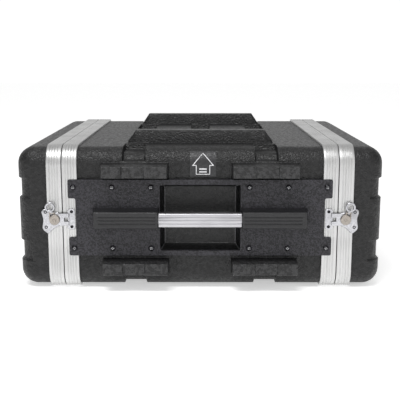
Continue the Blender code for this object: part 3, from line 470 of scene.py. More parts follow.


# the side blocks' raised faces are painted paler: painted light
SHELL = moulded_plastic("pebbled black plastic", (0.0006, 0.0006, 0.0008), (0.0075, 0.0075, 0.0079),
                        0.42, 440.0, 0.00080, gloss=0.47, raised_face_light=(0.0290, 0.0290, 0.0300))
# the cup's inner fillets get a painted highlight
CUP = moulded_plastic("cup plastic", (0.0006, 0.0008, 0.0011), (0.0038, 0.0038, 0.0041), 0.34, 480.0, 0.00055,
                      dust_amount=0.0, gloss=0.5, matt_floor=0.6, fillet_highlight=(0.070, 0.070, 0.074))
HOUSING = moulded_plastic("handle plastic", (0.0045, 0.0045, 0.0056), (0.0085, 0.0085, 0.0102),
                          0.36, 1100.0, 0.00012, gloss=0.56)
PLATE = painted_plate("charcoal powder coat")
BAND = drawn_metal("edge band aluminium", (0.57, 0.57, 0.567), (0.64, 0.64, 0.637), 0.42,
                   (420.0, 9.0, 9.0), 0.000004)
SLEEVE = drawn_metal("grip aluminium", (0.50, 0.495, 0.515), (0.56, 0.555, 0.575), 0.40,
                     (9.0, 700.0, 700.0), 0.00001)
# the zinc's sides get a painted shade
ZINC = drawn_metal("bright zinc", (0.42, 0.42, 0.44), (0.56, 0.56, 0.585), 0.26,
                   (420.0, 420.0, 420.0), 0.00002, edge=(0.055, 0.055, 0.06))
STEEL = drawn_metal("zinc-plated steel", (0.30, 0.30, 0.31), (0.44, 0.44, 0.45), 0.38,
                    (60.0, 60.0, 900.0), 0.00003)
# the screws' cross recesses get a painted glint
BLACK_STEEL = drawn_metal("black-plated steel", (0.018, 0.018, 0.021), (0.050, 0.050, 0.055), 0.20,
                          (500.0, 500.0, 500.0), 0.00002, recess_glint=(0.62, 0.62, 0.63))
BRASSY = turned_metal("turned straw metal")
FILM = moulded_plastic("label film", (0.017, 0.017, 0.019), (0.026, 0.026, 0.028), 0.40, 620.0, 0.00030)
INK = moulded_plastic("label print", (0.60, 0.60, 0.62), (0.74, 0.74, 0.76), 0.50, 620.0, 0.00008,
                      dust=(0.66, 0.66, 0.68))


# ---- Body shell ---------------------------------------------------------------------------------
def contour_place(on_top, value, inset):
    """A point of the shell's section and its outward direction.

    The value is |Y| on the top or |Z| from the middle on a side.
    """
    radius = CORNER_R - inset
    if on_top:
        if value <= FLAT_Y:
            return value, HALF_Z - inset, 0.0, 1.0
        angle = math.acos(min((value - FLAT_Y) / radius, 1.0))
    else:
        if value <= FLAT_Z:
            return HALF_Y - inset, value, 1.0, 0.0
        angle = math.asin(min((value - FLAT_Z) / radius, 1.0))
    return (FLAT_Y + radius * math.cos(angle), FLAT_Z + radius * math.sin(angle),
            math.cos(angle), math.sin(angle))


def channel_depth(x, centres, depth, grow, edge=CHANNEL_WALL):
    return max(wall(CHANNEL_HALF + grow - abs(x - centre), depth, *edge) for centre in centres)


def ledge_depth(sin_a, cos_a, radius, grow):
    """Depth of an upper edge channel on the rounded edge, down to its sloping ledge."""
    reach = LEDGE_Z - grow - MID_Z - FLAT_Z + LEDGE_SLOPE * CORNER_R
    ledge = reach / (sin_a + LEDGE_SLOPE * cos_a)
    return radius - max(radius - CHANNEL_DEEP, min(radius, ledge))


def low_ledge_depth(sin_a, radius, grow):
    ledge = (MID_Z - FLAT_Z - LOW_CHANNEL_Z - grow) / max(sin_a, 0.01)
    return radius - max(radius - LOW_CHANNEL_DEEP, min(radius, ledge))


def channels_sunk(x, y, on_top, across, up, zsign, grow):
    """How deep the channels sink the shell here: three over the top's middle, two over each long edge."""
    deep, radius = (CHANNEL_DEEP if zsign > 0 else LOW_CHANNEL_DEEP), CORNER_R - grow
    edge = 0.0
    if on_top and y < FLAT_Y:
        edge = wall(y - CHANNEL_EDGE_Y + grow, deep, *CHANNEL_WALL)
    elif up > 0:
        edge = ledge_depth(up, across, radius, grow) if zsign > 0 else low_ledge_depth(up, radius, grow)
    sunk = min(channel_depth(x, OUTER_CHANNELS, deep, grow), edge)
    if on_top and zsign > 0:
        middle = wall(CHANNEL_MID_Y + grow - y, deep, *CHANNEL_WALL)
        sunk = max(sunk, min(channel_depth(x, CHANNELS, deep, grow), middle))
    return sunk


def bars_raised(x, y, zsign, grow):
    """How far a stacking bar stands up here or, underneath, how far a slot for such a bar goes in."""
    if zsign > 0:
        return min(wall(BAR_HALF - grow - abs(y - BAR_Y), BAR_HIGH, *BAR_SIDE),
                   wall(BAR_FOOT - grow - abs(x), BAR_HIGH, *BAR_END))
    return -min(wall(BAR_HALF + SLOT_SPARE + grow - abs(y - BAR_Y), SLOT_DEEP, *SLOT_WALL),
                wall(BAR_FOOT + SLOT_SPARE + grow - abs(x), SLOT_DEEP, *SLOT_WALL))


def blocks_raised(x, z, grow):
    """How far a side block stands out here, less the dish that carries the channel on across it."""
    mid_x, half_x = (BLOCK_X0 + BLOCK_X1) / 2, (BLOCK_X1 - BLOCK_X0) / 2 - grow
    along = wall(half_x - abs(abs(x) - mid_x), BLOCK_HIGH, *BLOCK_END)
    over = max(wall(BLOCK_HALF_Z - grow - abs(z - block_z), BLOCK_HIGH, *BLOCK_SIDE) for block_z in BLOCK_ZS)
    stand = min(over, along)
    return stand - channel_depth(x, OUTER_CHANNELS, DISH_DEEP, grow, DISH_WALL) * stand / BLOCK_HIGH


def shell_point(x, on_top, value, ysign, zsign, grow):
    """A point of the body shell's outer skin, or of its inner skin when grow is the wall."""
    y, z, across, up = contour_place(on_top, value, grow)
    sunk = channels_sunk(x, y, on_top, across, up, zsign, grow)
    rise = bars_raised(x, y, zsign, grow) if on_top and up == 1.0 else 0.0
    y -= across * sunk
    z += rise - up * sunk
    if not on_top:
        y += blocks_raised(x, MID_Z + zsign * z, grow) * (1 + (HALF_Y - grow - y) / BLOCK_HIGH)
    return Vector((x, ysign * y, MID_Z + zsign * z))


def shell_lines_x(grow):
    marks = []
    for hand in (-1, 1):
        for centre in CHANNELS:
            marks += lines(centre + hand * (CHANNEL_HALF + grow), -hand, *CHANNEL_WALL)
        marks += lines(hand * (BLOCK_X0 + grow), hand, *BLOCK_END)
        marks += lines(hand * (BLOCK_X1 - grow), -hand, *BLOCK_END)
        marks += lines(hand * (BAR_FOOT - grow), -hand, *BAR_END)
        marks += lines(hand * (BAR_FOOT + SLOT_SPARE + grow), -hand, *SLOT_WALL)
        marks.append(hand * CUP_CUT_X)
    return [-BODY_END] + filled(marks, -BODY_END, BODY_END, 0.018) + [BODY_END]


def contour_lines(grow):
    """Each line round the shell as (on_top, value, ysign, zsign), starting below at the middle."""
    radius = CORNER_R - grow
    arc = [math.radians(5 * step) for step in range(9)]
    far_y = [FLAT_Y + radius * math.sin(angle) for angle in arc]
    far_z = [FLAT_Z + radius * math.sin(angle) for angle in arc + [math.radians(45)]]

    edge = lines(CHANNEL_EDGE_Y - grow, 1, *CHANNEL_WALL)
    top = lines(CHANNEL_MID_Y + grow, -1, *CHANNEL_WALL) + edge
    top += lines(BAR_Y - BAR_HALF + grow, 1, *BAR_SIDE) + lines(BAR_Y + BAR_HALF - grow, -1, *BAR_SIDE)
    low = edge + lines(BAR_Y - BAR_HALF - SLOT_SPARE - grow, 1, *SLOT_WALL)
    low += lines(BAR_Y + BAR_HALF + SLOT_SPARE + grow, -1, *SLOT_WALL)
    top, low = (sorted(filled(marks, 0.0, FLAT_Y, 0.030) + far_y) for marks in (top, low))

    up = []
    for block_z in BLOCK_ZS:
        for hand in (-1, 1):
            up += lines(block_z + hand * (BLOCK_HALF_Z - grow) - MID_Z, -hand, *BLOCK_SIDE)
    up += [PLATE_Z - CUP_CUT_Z - MID_Z, PLATE_Z + CUP_CUT_Z - MID_Z]
    up += [radius * math.sin(LEDGE_ANGLE) + FLAT_Z, -radius * math.sin(LOW_LEDGE_ANGLE) - FLAT_Z]
    up = filled(up, -FLAT_Z, FLAT_Z, 0.022) + far_z + [-z for z in far_z]

    def level_marks(ys, ysign, zsign):
        return [(True, y, ysign, zsign) for y in ys]

    def side_marks(ysign):
        return [(False, abs(z), ysign, 1 if z >= 0 else -1) for z in sorted(up)]

    return (level_marks([0.0] + low, 1, -1) + side_marks(1) + level_marks(top[::-1], 1, 1)
            + level_marks([0.0] + top, -1, 1) + side_marks(-1)[::-1] + level_marks(low[::-1], -1, -1))


def cup_cells(xs, marks):
    """The grid's cells that lie in the openings for the cups, as (place along, place round)."""
    cells = set()
    for i, (near, far) in enumerate(zip(xs, xs[1:])):
        for j, first in enumerate(marks):
            second = marks[(j + 1) % len(marks)]
            on_side = not first[0] and not second[0]
            z = MID_Z + (first[1] * first[3] + second[1] * second[3]) / 2 - PLATE_Z
            if on_side and abs(near + far) / 2 < CUP_CUT_X - CLOSE and abs(z) < CUP_CUT_Z - CLOSE:
                cells.add((i, j))
    return cells


def body_shell():
    shape = bmesh.new()
    layers = []
    for grow in (0.0, WALL):
        xs, marks = shell_lines_x(grow), contour_lines(grow)
        layers.append([[shape.verts.new(shell_point(x, *mark, grow)) for mark in marks] for x in xs])
    outer, inner = layers
    count = len(outer[0])
    opened = cup_cells(shell_lines_x(0.0), contour_lines(0.0))
    for rows in (outer, inner):
        for i in range(len(rows) - 1):
            for j in range(count):
                if (i, j) not in opened:
                    k = (j + 1) % count
                    shape.faces.new((rows[i][j], rows[i][k], rows[i + 1][k], rows[i + 1][j]))
    for i in (0, -1):
        join_loops(shape, outer[i], inner[i])
    for i, j in opened:
        k = (j + 1) % count
        for cell, first, second in (((i - 1, j), (i, j), (i, k)), ((i + 1, j), (i + 1, j), (i + 1, k)),
                                    ((i, j - 1), (i, j), (i + 1, j)), ((i, k), (i, k), (i + 1, k))):
            if cell not in opened:
                a, b = outer[first[0]][first[1]], outer[second[0]][second[1]]
                c, d = inner[second[0]][second[1]], inner[first[0]][first[1]]
                shape.faces.new((a, b, c, d))
    new_piece("moulded_body", shape, SHELL, "case_body", ["body_shell"])


# ---- Lids ---------------------------------------------------------------------------------------
GROOVE_ZS = (0.0630, 0.1645)
GROOVE_HALF = 0.0160
GROOVE_DEEP = 0.0040
GROOVE_X = 0.2700
GROOVE_SOFT = 0.0012
GROOVE_WALL = (CRISP, GROOVE_SOFT, GROOVE_SOFT)
FLAT_X = LID_END - CORNER_R


def lid_levels(grow):
    """Heights from the middle where the lid is cut, with how far each lies round the long edge."""
    marks = []
    for groove_z in GROOVE_ZS:
        for hand in (-1, 1):
            marks += lines(groove_z + hand * (GROOVE_HALF + grow) - MID_Z, -hand, *GROOVE_WALL)
    levels = [(z, 0.0) for z in filled(marks, -FLAT_Z, FLAT_Z, 0.018)]
    arc = [(FLAT_Z, math.radians(10 * step)) for step in range(10)]
    return [(-z, -angle) for z, angle in arc[::-1]] + levels + arc


def lid_stations(grow):
    """Places round the lid's end: ("leg", x), ("arc", angle) and ("end", y)."""
    radius = CORNER_R - grow
    legs = [("leg", LID_START + (FLAT_X - LID_START) * i / 6) for i in range(6)]
    starts = [x for x in lines(GROOVE_X - grow, 1, *GROOVE_WALL) if x > FLAT_X]
    angles = [math.asin(min((x - FLAT_X) / radius, 1.0)) for x in starts]
    angles += [math.radians(7.5 * step) for step in range(13)]
    arcs = [("arc", angle) for angle in sorted(angles)]
    ends = [("end", -FLAT_Y + 2 * FLAT_Y * i / 22) for i in range(1, 22)]
    right = [(kind, value, -1) for kind, value in legs + arcs]
    left = [(kind, value, 1) for kind, value in (legs + arcs)[::-1]]
    return right + [(kind, value, 0) for kind, value in ends] + left


def lid_point(station, level, grow):
    kind, value, hand = station
    flat_z, around = level
    radius = (CORNER_R - grow) * math.cos(around)
    z = flat_z + (CORNER_R - grow) * math.sin(around)
    if kind == "leg":
        x, y, nx, ny = value, hand * (FLAT_Y + radius), 0.0, hand
    elif kind == "arc":
        nx, ny = math.sin(value), hand * math.cos(value)
        x, y = FLAT_X + radius * nx, hand * FLAT_Y + radius * ny
    else:
        x, y, nx, ny = FLAT_X + radius, value, 1.0, 0.0
    if around == 0.0:
        across = max(wall(GROOVE_HALF + grow - abs(z + MID_Z - groove_z), GROOVE_DEEP, *GROOVE_WALL)
                     for groove_z in GROOVE_ZS)
        sunk = min(across, wall(x - GROOVE_X + grow, GROOVE_DEEP, *GROOVE_WALL))
        x, y = x - nx * sunk, y - ny * sunk
    return x, y, z + MID_Z


def lid_skin(shape, end, grow):
    """One skin of a lid. Returns the loop of points round its open edge."""
    levels, stations = lid_levels(grow), lid_stations(grow)

    def at(x, y, z):
        return shape.verts.new((end * x, y, z))

    rows = [[at(*lid_point(station, level, grow)) for station in stations] for level in levels]
    join_rows(shape, rows)
    legs = [j for j, station in enumerate(stations) if station[0] == "leg" and station[2] < 0]
    ends = [j for j, station in enumerate(stations) if station[0] == "end"]
    corner = legs[-1] + 1
    last = len(stations) - 1
    rims = []
    for row, z in ((rows[0], SHELL_LOW + grow), (rows[-1], SHELL_HIGH - grow)):
        grid = []
        for j in legs:
            x = stations[j][1]
            grid.append([row[j]] + [at(x, stations[k][1], z) for k in ends] + [row[last - j]])
        grid.append([row[corner]] + [row[k] for k in ends] + [row[last - corner]])
        join_rows(shape, grid)
        rims.append(grid[0])
    up = [row[0] for row in rows]
    down = [row[last] for row in rows]
    return up + rims[1][1:-1] + down[::-1] + rims[0][1:-1][::-1]


def lid_shell(end_name):
    end = ENDS[end_name]
    shape = bmesh.new()
    outer, inner = lid_skin(shape, end, 0.0), lid_skin(shape, end, WALL)
    join_loops(shape, outer, inner)
    new_piece(f"{end_name}_moulded_lid", shape, SHELL, f"{end_name}_lid",
              [f"{end_name}_lid_shell"])


# ---- Metal edge bands -----------------------------------------------------------------------------
BAND_RISE = 0.0040
BAND_WIDTH = 0.0238
BAND_LIP = 0.0050
BAND_GROOVES = (0.0052, 0.0094, 0.0136, 0.0178)
GROOVE_WIDE, GROOVE_SUNK = 0.0018, 0.00065
BAND_SOFT, MEET_SOFT, LIP_SOFT, BAND_NIB = 0.0010, 0.0011, 0.0004, 0.0003
# Across a groove: a share of its half width, and of its depth.
GROOVE_SHAPE = ((-1.0, 0.0), (-0.75, 0.45), (-0.35, 0.95), (0.35, 0.95), (0.75, 0.45), (1.0, 0.0))
CLEAR = 0.0003


def band_section(back, meet, lip):
    """Section of a band as (x, height over the shell): grooved face, rounded edges and an inner lip."""
    way = 1 if meet > back else -1
    points = [(back, CLEAR), (back, BAND_RISE - BAND_SOFT), (back + way * BAND_NIB, BAND_RISE - BAND_NIB),
              (back + way * BAND_SOFT, BAND_RISE)]
    for groove in BAND_GROOVES:
        middle = back + way * groove
        for share, sunk in GROOVE_SHAPE:
            points.append((middle + way * share * GROOVE_WIDE / 2, BAND_RISE - sunk * GROOVE_SUNK))
    return points + [(meet - way * MEET_SOFT, BAND_RISE), (meet - way * BAND_NIB, BAND_RISE - BAND_NIB),
                     (meet, BAND_RISE - MEET_SOFT), (meet, -BAND_LIP + LIP_SOFT),
                     (meet - way * LIP_SOFT, -BAND_LIP), (lip, -BAND_LIP), (lip, CLEAR)]


def edge_band(name, node, body, back, meet, lip):
    shape = bmesh.new()
    skin(shape, [on_x(rounded(HALF_Y + rise, HALF_Z + rise, CORNER_R + rise, 14, (0.0, MID_Z)), x)
                 for x, rise in band_section(back, meet, lip)], closed=True)
    new_piece(name, shape, BAND, body, [node])


SPLIT, SPLIT_GAP = 0.2187, 0.0005


def edge_bands():
    for end_name, end in ENDS.items():
        meet = SPLIT - SPLIT_GAP
        edge_band(f"{end_name}_body_band", f"{end_name}_body_valance", "case_body",
                  end * (meet - BAND_WIDTH), end * meet, end * (BODY_END + CLEAR / 2))
        meet = SPLIT + SPLIT_GAP
        edge_band(f"{end_name}_lid_band", f"{end_name}_lid_valance", f"{end_name}_lid",
                  end * (meet + BAND_WIDTH), end * meet, end * (LID_START - CLEAR))


# ---- Side plate, hand cup and handle ------------------------------------------------------------
PLATE_HALF_X, PLATE_HALF_Z = 0.2092, 0.0615
PLATE_INNER, NOTCH_OUT = 0.1937, 0.0038
PLATE_EAR, EAR_HIGH = 0.0020, 0.030
PLATE_CORNER, PLATE_SOFT = 0.0030, 0.0005
SCREW_XS = (0.2007, 0.1395, 0.0780)
SCREW_Z, SCREW_HOLE = 0.0492, 0.0023
CUP_X, CUP_Z = 0.0638, 0.0531
CUP_BACK = 0.2308
CUP_DRAFT = 0.0060
CUP_SKIN = 0.0022
CUP_FLANGE = 0.0100
CUP_FILLET = 0.0018
CUP_CORNER = 0.0028
HOUSING_X0, HOUSING_X1 = 0.0654, 0.1700
HOUSING_FOOT, HOUSING_TOP = 0.0320, 0.0268
RIB_PITCH = 0.0053
RIB_HALF = 0.0008
RIB_DEEP = 0.0009
RIB_X0, RIB_X1 = HOUSING_X0 + 0.004, HOUSING_X1 - 0.009
# The housing's walls and the walls of its grooves, each a lean, a foot's fillet and a lip's rounding.
HOUSING_INNER, HOUSING_OUTER = (0.0006, 0.0, 0.0012), (0.0026, 0.0, 0.0022)
HOUSING_SIDE = ((HOUSING_FOOT - HOUSING_TOP) / 2, 0.0, 0.0022)
RIB_INNER, RIB_OUTER, RIB_SIDE = (0.0006, 0.0, 0.0003), (0.0012, 0.0, 0.0003), (0.0002, 0.0002, 0.0003)
SLEEVE_X = 0.0650
SLEEVE_HIGH = 0.0222
SLEEVE_SOFT = 0.0022
SLEEVE_END = 0.0003
SLEEVE_RIB_HALF, SLEEVE_RIB_DEEP = 0.0007, 0.0007
SLEEVE_RIB_SHAPE = ((1.0, 0.0), (0.7, 0.5), (0.3, 1.0), (-0.3, 1.0), (-0.7, 0.5), (-1.0, 0.0))
SLEEVE_BACK, SLEEVE_FACE = 0.2640, 0.2794


def hand_cup(side_name):
    side = SIDES[side_name]
    shape = bmesh.new()

    def ring(grow, y):
        corner = max(CUP_CORNER + grow * 0.3, 0.0010)
        return on_y(rounded(CUP_X + grow, CUP_Z + grow, corner, 5, (0.0, PLATE_Z)), side * y)

    depth = HALF_Y - CUP_BACK
    rings = [ring(-0.030, CUP_BACK)]
    for step in range(5):
        angle = math.radians(90 * step / 4)
        y = CUP_BACK + CUP_FILLET * (1 - math.cos(angle))
        inset = CUP_FILLET * (1 - math.sin(angle))
        rings.append(ring(-CUP_DRAFT * (HALF_Y - y) / depth - inset, y))
    rings += [ring(-0.0008, HALF_Y - 0.003), ring(0.0, HALF_Y - 0.0004), ring(0.0004, HALF_Y),
              ring(CUP_SKIN, HALF_Y)]
    flange = HALF_Y - WALL - CLEAR
    rings += [ring(CUP_SKIN, flange), ring(CUP_FLANGE - 0.0004, flange), ring(CUP_FLANGE, flange - 0.0004),
              ring(CUP_FLANGE, flange - CUP_SKIN), ring(CUP_SKIN, flange - CUP_SKIN),
              ring(CUP_SKIN - CUP_DRAFT, CUP_BACK), ring(CUP_SKIN - CUP_DRAFT - 0.002, CUP_BACK - CUP_SKIN)]
    skin(shape, rings)
    new_piece(f"{side_name}_cup", shape, CUP, "case_body", [f"{side_name}_hand_cup"])


def handle_housing(end_name, side_name):
    """A drafted block with fine grooves along its face that stop short of both ends."""
    end, side = ENDS[end_name], SIDES[side_name]
    base = PLATE_FACE + CLEAR
    high = SIDE_REACH - base
    xs = lines(HOUSING_X0, 1, *HOUSING_INNER) + lines(HOUSING_X1, -1, *HOUSING_OUTER)
    xs += lines(RIB_X0, 1, *RIB_INNER) + lines(RIB_X1, -1, *RIB_OUTER)
    xs = filled(xs, HOUSING_X0, HOUSING_X1, 0.012)
    half = HOUSING_FOOT / 2
    zs = lines(-half, 1, *HOUSING_SIDE) + lines(half, -1, *HOUSING_SIDE)
    for rib in (-1, 0, 1):
        for hand in (-1, 1):
            zs += lines(rib * RIB_PITCH + hand * RIB_HALF, -hand, *RIB_SIDE)
    zs.sort()
    shape = bmesh.new()
    rows = []
    for x in xs:
        row = []
        for z in zs:
            nearest = min(abs(z - rib * RIB_PITCH) for rib in (-1, 0, 1))
            rise = min(wall(x - HOUSING_X0, high, *HOUSING_INNER), wall(HOUSING_X1 - x, high, *HOUSING_OUTER),
                       wall(half - abs(z), high, *HOUSING_SIDE))
            cut = min(wall(x - RIB_X0, RIB_DEEP, *RIB_INNER), wall(RIB_X1 - x, RIB_DEEP, *RIB_OUTER),
                      wall(RIB_HALF - nearest, RIB_DEEP, *RIB_SIDE))
            row.append(shape.verts.new((end * x, side * (base + rise - cut), PLATE_Z + z)))
        rows.append(row)
    join_rows(shape, rows)
    rim = rows[0] + [row[-1] for row in rows[1:-1]] + rows[-1][::-1] + [row[0] for row in rows[-2:0:-1]]
    shape.faces.new(rim)
    new_piece(f"{end_name}_{side_name}_housing", shape, HOUSING, "case_body",
              [f"{end_name}_{side_name}_handle_housing"], sharp=50)


def grip_sleeve(side_name):
    side = SIDES[side_name]
    mid = (SLEEVE_BACK + SLEEVE_FACE) / 2
    half_y, half_z = (SLEEVE_FACE - SLEEVE_BACK) / 2, SLEEVE_HIGH / 2
    face = []
    for rib in (1, 0, -1):
        for share, sunk in SLEEVE_RIB_SHAPE:
            face.append((half_y - sunk * SLEEVE_RIB_DEEP, rib * RIB_PITCH + share * SLEEVE_RIB_HALF))
    outline = rounded(half_y, half_z, SLEEVE_SOFT, 6) + face[::-1]
    rings = []
    for x, shrink in ((-SLEEVE_X, SLEEVE_END), (-SLEEVE_X + SLEEVE_END, 0.0), (0.0, 0.0),
                      (SLEEVE_X - SLEEVE_END, 0.0), (SLEEVE_X, SLEEVE_END)):
        scale = 1 - shrink / half_y
        rings.append([Vector((x, side * (mid + u * scale), PLATE_Z + v * scale)) for u, v in outline])
    shape = bmesh.new()
    skin(shape, rings)
    new_piece(f"{side_name}_sleeve", shape, SLEEVE, "case_body",
              [f"{side_name}_grip_sleeve"])


def cut_sheet(shape, rims, thick, side, y_back):
    """A flat sheet with rounded front edges. Its outlines, outer first, then holes, are in X and Z."""
    y_face = y_back + thick
    layers = ((0.0, y_back), (0.0, y_face - PLATE_SOFT), (PLATE_SOFT * 0.3, y_face - PLATE_SOFT * 0.3),
              (PLATE_SOFT, y_face))
    front, back = [], []
    for number, rim in enumerate(rims):
        inward = 1 if number == 0 else -1
        rows = [[shape.verts.new((p.x, side * y, p.y)) for p in inset_loop(rim, inward * inset)]
                for inset, y in layers]
        for low, high in zip(rows, rows[1:]):
            join_loops(shape, low, high)
        for row, edges in ((rows[-1], front), (rows[0], back)):
            edges += [shape.edges.get(pair) for pair in zip(row, row[1:] + row[:1])]
    for edges in (front, back):
        bmesh.ops.triangle_fill(shape, edges=edges, use_beauty=True)


def side_plate(side_name):
    """A thin sheet with a window for the cup and ears that lap over the bands, each ear a step thinner."""
    side = SIDES[side_name]
    corner = [(PLATE_INNER + NOTCH_OUT, PLATE_HALF_Z - EAR_HIGH), (PLATE_HALF_X, PLATE_HALF_Z - EAR_HIGH),
              (PLATE_HALF_X, PLATE_HALF_Z)]
    outline = []
    for su, sv in ((1, 1), (-1, 1), (-1, -1), (1, -1)):
        outline += [Vector((su * u, sv * v)) for u, v in (corner if su * sv > 0 else corner[::-1])]
    outer = [Vector((p.x, p.y + PLATE_Z)) for p in round_corners(outline, PLATE_CORNER)]
    window = [Vector(p) for p in rounded(CUP_X, CUP_Z, CUP_CORNER, 4, (0.0, PLATE_Z))]
    ring = [(SCREW_HOLE * math.cos(math.tau * i / 12), SCREW_HOLE * math.sin(math.tau * i / 12))
            for i in range(12)]
    holes = [[Vector((end * x + u, PLATE_Z + row * SCREW_Z + v)) for u, v in ring]
             for end in ENDS.values() for row in (-1, 1) for x in SCREW_XS]
    shape = bmesh.new()
    cut_sheet(shape, [outer, window] + holes, PLATE_EAR, side, PLATE_FACE - PLATE_EAR)
    body = [Vector(p) for p in rounded(PLATE_INNER - 0.0003, PLATE_HALF_Z - 0.0001, PLATE_CORNER, 3,
                                       (0.0, PLATE_Z))]
    inner_holes = [hole for hole in holes if abs(hole[0].x) < PLATE_INNER - 0.01]
    cut_sheet(shape, [body, window] + inner_holes, PLATE_FACE - HALF_Y - PLATE_EAR - CLEAR, side,
              HALF_Y + CLEAR)
    new_piece(f"{side_name}_plate", shape, PLATE, "case_body", [f"{side_name}_side_plate"],
              sharp=20)


def round_corners(points, radius, steps=3):
    """The closed outline with every corner rounded."""
    line = []
    for i, corner in enumerate(points):
        before = (points[i - 1] - corner).normalized()
        after = (points[(i + 1) % len(points)] - corner).normalized()
        for step in range(steps + 1):
            t = step / steps
            line.append(corner + before * radius * (1 - t) ** 2 + after * radius * t ** 2)
    return line


def side_fittings():
    for side_name in SIDES:
        side_plate(side_name)
        hand_cup(side_name)
        grip_sleeve(side_name)
        node = f"{side_name}_grip_core"
        new_piece(f"{side_name}_bar", softened(node, 0.0008), STEEL, "case_body", [node],
                  smooth=False)
        for end_name in ENDS:
            handle_housing(end_name, side_name)
            node = f"{end_name}_{side_name}_rack_rail"
            new_piece(f"{end_name}_{side_name}_rail", softened(node, 0.0004, 1), STEEL, "case_body",
                      [node], smooth=False)


# ---- Twist latches --------------------------------------------------------------------------------
LATCH_Z, KNOB_X, KNOB_R = 0.1165, 0.2305, 0.0083
LATCH_SEAT = 0.2568
LATCH_TOP = 0.2583
CLAW_UNDER, CLAW_OVER = 0.2594, 0.2612
WING_UNDER, WING_THICK = 0.2621, 0.0020
KNOB_TOP = 0.2647
WING_X, WING_HINGE_Z = KNOB_X + 0.0040, LATCH_Z + 0.0106
WING_R, WING_WIRE = 0.0064, 0.0018
WING_RISE, WING_LEAN = 0.0096, 0.0030
RIVETS = ((0.0150, 0.0115), (0.0145, -0.0130))
CLAW_REACH, CLAW_HALF = 0.2085, 0.0100
CLAW_FORK_HALF, CLAW_FORK_DEEP = 0.0030, 0.0070
CLAW_SLOT_X, CLAW_SLOT_Z = 0.0077, 0.0033
CLAW_ROUND = 0.0008
CLAW_TAIL = ((-0.0080, CLAW_HALF), (0.0020, CLAW_HALF * 0.62), (0.0097, CLAW_HALF * 0.50))
BASE_SOFT = 0.0011
# The base plate's outline round the knob (towards the body, up), and the raised ring under the knob.
BASE_LOBES = ((0.0085, 0.0085), (-0.0050, 0.0120), (-0.0165, 0.0165), (-0.0215, 0.0120),
              (-0.0190, 0.0000), (-0.0205, -0.0145), (-0.0155, -0.0210), (-0.0105, -0.0230),
              (-0.0020, -0.0150), (0.0085, -0.0085))
BASE_SWAGE = ((0.0105, -0.0004), (0.0100, 0.0003), (0.0092, 0.0005), (0.0084, 0.0001), (0.0082, -0.0004))


def smooth_loop(points, steps=5):
    """A closed smooth line through these points."""
    count = len(points)
    line = []
    for i in range(count):
        a, b, c, d = (Vector(points[(i + k) % count]) for k in (-1, 0, 1, 2))
        for step in range(steps):
            t = step / steps
            line.append(0.5 * ((2 * b) + (c - a) * t + (2 * a - 5 * b + 4 * c - d) * t * t
                               + (3 * b - a - 3 * c + d) * t ** 3))
    return line


def inset_loop(loop, amount):
    """The loop moved inwards by this amount, whichever way round it runs."""
    pairs = list(zip(loop, loop[1:] + loop[:1]))
    turn = 1 if sum(a.x * b.y - b.x * a.y for a, b in pairs) > 0 else -1
    moved = []
    for i, (point, following) in enumerate(pairs):
        along = (following - loop[i - 1]).normalized()
        moved.append(point + turn * amount * Vector((-along.y, along.x)))
    return moved


def pressed_plate(loop, low, high, side, soft):
    """Rings of a stamped plate with a rounded upper edge."""
    return [on_y(loop, side * low), on_y(loop, side * (high - soft)),
            on_y(inset_loop(loop, soft * 0.3), side * (high - soft * 0.3)),
            on_y(inset_loop(loop, soft), side * high)]


def latch_base(label, end, side, body):
    loop = smooth_loop([(end * (KNOB_X - u), LATCH_Z + v) for u, v in BASE_LOBES])
    shape = bmesh.new()
    skin(shape, pressed_plate(loop, LATCH_SEAT, LATCH_TOP, side, BASE_SOFT))
    swage = [(radius, LATCH_TOP + lift) for radius, lift in BASE_SWAGE]
    skin(shape, turned(swage, 32, (end * KNOB_X, LATCH_Z), side))
    new_piece(f"{label}_base", shape, ZINC, body, [f"{label}_latch_plate"])


def knob(label, end, side):
    """The cam head: a turned disc with a shallow round recess in its middle, on its pin, with the wing's two
    ears.
    """
    centre = (end * KNOB_X, LATCH_Z)
    under = CLAW_OVER + CLEAR
    profile = [(0.0030, LATCH_SEAT + 0.0002), (0.0030, under), (KNOB_R - 0.0004, under),
               (KNOB_R, under + 0.0004), (KNOB_R, KNOB_TOP - 0.0011), (KNOB_R - 0.0003, KNOB_TOP - 0.0005),
               (KNOB_R - 0.0010, KNOB_TOP - 0.0001), (KNOB_R - 0.0016, KNOB_TOP), (0.0030, KNOB_TOP),
               (0.0022, KNOB_TOP - 0.0004), (0.0018, KNOB_TOP - 0.0010)]
    shape = bmesh.new()
    skin(shape, turned(profile, 40, centre, side))
    for hand in (-1, 1):
        mid_x = end * WING_X + hand * (0.0025 + 0.0011)
        outline = rounded(0.0007, 0.0055, 0.0006, 3, (mid_x, LATCH_Z + 0.0070))
        skin(shape, pressed_plate([Vector(p) for p in outline], under, KNOB_TOP - 0.0008, side, 0.0003))
    cross = turned([(0.0011, -0.0040), (0.0011, 0.0040)], 16, (0.0, 0.0), 1)
    pin = []
    for ring in cross:
        pin.append([Vector((end * WING_X + point.y, side * (WING_UNDER + WING_THICK / 2) + point.x,
                            WING_HINGE_Z + point.z)) for point in ring])
    skin(shape, pin)
    piece = new_piece(f"{label}_cam", shape, BRASSY, f"{label}_knob", [f"{label}_latch_knob"])
    flat = piece.data.uv_layers.new(name="disc")
    for loop in piece.data.loops:
        place = piece.data.vertices[loop.vertex_index].co
        flat.data[loop.index].uv = (place.x - centre[0], place.z - centre[1])


